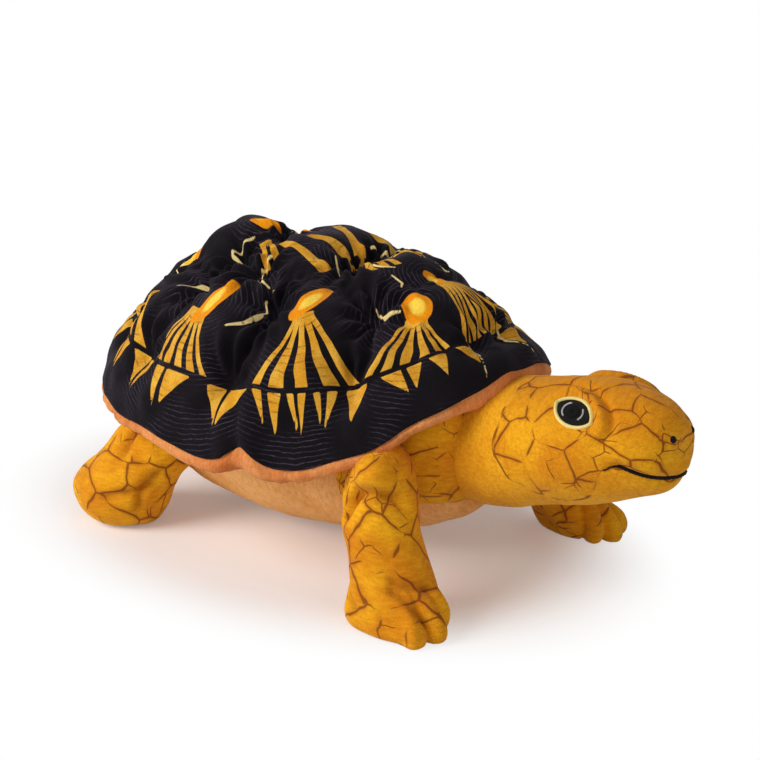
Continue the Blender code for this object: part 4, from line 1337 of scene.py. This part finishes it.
def stitchTube(line, radii):
    # a closed tube along a line, drawn to a tip at both ends
    ahead = unit(np.gradient(line, axis=0))
    side = unit(np.cross(ahead, alongZ))
    rise = np.cross(side, ahead)
    turn = np.arange(mouthStitches["sides"]) * math.tau / mouthStitches["sides"]
    grid = (line[:, None] + side[:, None] * (np.cos(turn) * radii[:, None])[..., None]
            + rise[:, None] * (np.sin(turn) * radii[:, None])[..., None])
    grid[0], grid[-1] = line[0], line[-1]
    points, faces = meshFromGrid(grid)
    return points, facing(points, faces, points - points.mean(axis=0))


def buildMouth():
    half = headShape["mouth"]
    path = np.vstack([mirrored(half, -1), half[::-1]])
    laid = []
    for place in splined(path, np.linspace(0, len(path) - 1, mouthStitches["pathSteps"])):
        outward = unit((place[0] - mouthStitches["behind"], place[1] * mouthStitches["widen"], 0))
        laid.append(onHead(place, outward, mouthStitches["lift"]))
    laid = np.array(laid)
    run = np.concatenate([[0], np.cumsum(np.linalg.norm(np.diff(laid, axis=0), axis=1))])
    allPoints, allFaces = np.zeros((0, 3)), []
    steps = mouthStitches["steps"]
    tips = np.sin(np.linspace(mouthStitches["tipTurn"], math.pi - mouthStitches["tipTurn"], steps)) ** 0.5
    start = 0.0
    while start < run[-1] - mouthStitches["leastRun"]:
        end = min(start + mouthStitches["length"], run[-1])
        at = np.linspace(start, end, steps)
        line = np.column_stack([np.interp(at, run, laid[:, axis]) for axis in range(3)])
        line[:, 2] += np.linspace(1, -1, steps) * mouthStitches["slant"]
        whole = ramp(min(start, run[-1] - end), *mouthStitches["tail"])
        thick = mouthStitches["tailRadius"] + (mouthStitches["radius"] - mouthStitches["tailRadius"]) * whole
        points, faces = stitchTube(line, thick * tips)
        allFaces += [[corner + len(allPoints) for corner in face] for face in faces]
        allPoints = np.vstack([allPoints, points])
        start += mouthStitches["length"] * (1 - mouthStitches["overlap"])
    piece = addPiece("mouthStitches", allPoints, allFaces, threads["brown"], allPoints,
                     strand=allPoints[:, 2] * mm)
    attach(piece, "head")
    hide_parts("mouth_line")


nostril = {"halfLength": 1.4, "halfHeight": 1.5, "height": 0.75, "least": 0.05, "sunk": -0.4,
           "rows": 7, "columns": 40}


def buildNostril(side):
    word = "right" if side < 0 else "left"
    centre = mirrored(headShape["nostril"], side)
    outward = unit(mirrored(headShape["nostrilOutward"], side))
    across = unit(np.cross(outward, alongZ)) * nostril["halfLength"]
    rise = unit(np.cross(across, outward)) * nostril["halfHeight"]
    rows, columns = nostril["rows"], nostril["columns"]
    grid = np.zeros((rows, columns, 3))
    for row in range(rows):
        share = min(row / (rows - 2), 1)
        lift = max(nostril["height"] * math.cos(share * math.pi / 2) ** 0.5, nostril["least"])
        for column, turn in enumerate(np.arange(columns) * math.tau / columns):
            place = centre + (across * math.cos(turn) + rise * math.sin(turn)) * share
            grid[row, column] = onHead(place, outward, lift if row < rows - 1 else nostril["sunk"])
    points, faces = meshFromGrid(grid)
    piece = addPiece("nostril" + word.title(), points, facing(points, faces, outward), threads["black"],
                     points, strand=points[:, 2] * mm)
    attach(piece, "head")
    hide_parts("nostril_" + word)


buildMouth()
for side in (-1, 1):
    buildNostril(side)
print("mouth and nostrils sewn")

# tail: a short stuffed cone

tailShape = {
    "joint": (-126.05, 0, 50.0), "length": 28.0, "drop": 10.0, "ball": 7.5, "angles": (34, 80),
    # along, and wide in shares of the ball
    "rings": ((0.30, 0.90), (0.75, 0.55), (1.0, 0.20)), "rows": 40, "columns": 48,
    "lumps": (12, 91, 0.3), "seamDepth": 0.6, "seamWidth": 0.9, "bendEnd": 0.55,
    "printRadius": 7, "printShift": (0.05, 0.3, 0),
}


def buildTail():
    joint = np.array(tailShape["joint"])
    axis = unit((-tailShape["length"], 0, -tailShape["drop"]))
    rise = np.cross(axis, alongY)
    rings = ballOvals(joint, axis, alongY, rise, tailShape["ball"], tailShape["angles"], 6)
    for along, wide in tailShape["rings"]:
        half = wide * tailShape["ball"]
        rings.append(oval(joint + axis * along * tailShape["length"], alongY, rise, half, half, 6))
    points, faces, normals = stuffed(rings, tailShape)
    seam = hill(points[:, 1], tailShape["seamWidth"]) * (points @ rise < joint @ rise)
    stand = waves(points, *tailShape["lumps"]) - seam * tailShape["seamDepth"]
    formed = points + normals * stand[:, None]
    flat = chart(points, faces, joint, axis, rise, tailShape["printRadius"]) + tailShape["printShift"]
    piece = addPiece("tailSkin", formed, faces, finishes["print"], points, flat)
    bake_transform(piece)
    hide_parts("tail_skin", "tail_filling")


buildTail()
print("tail sewn")
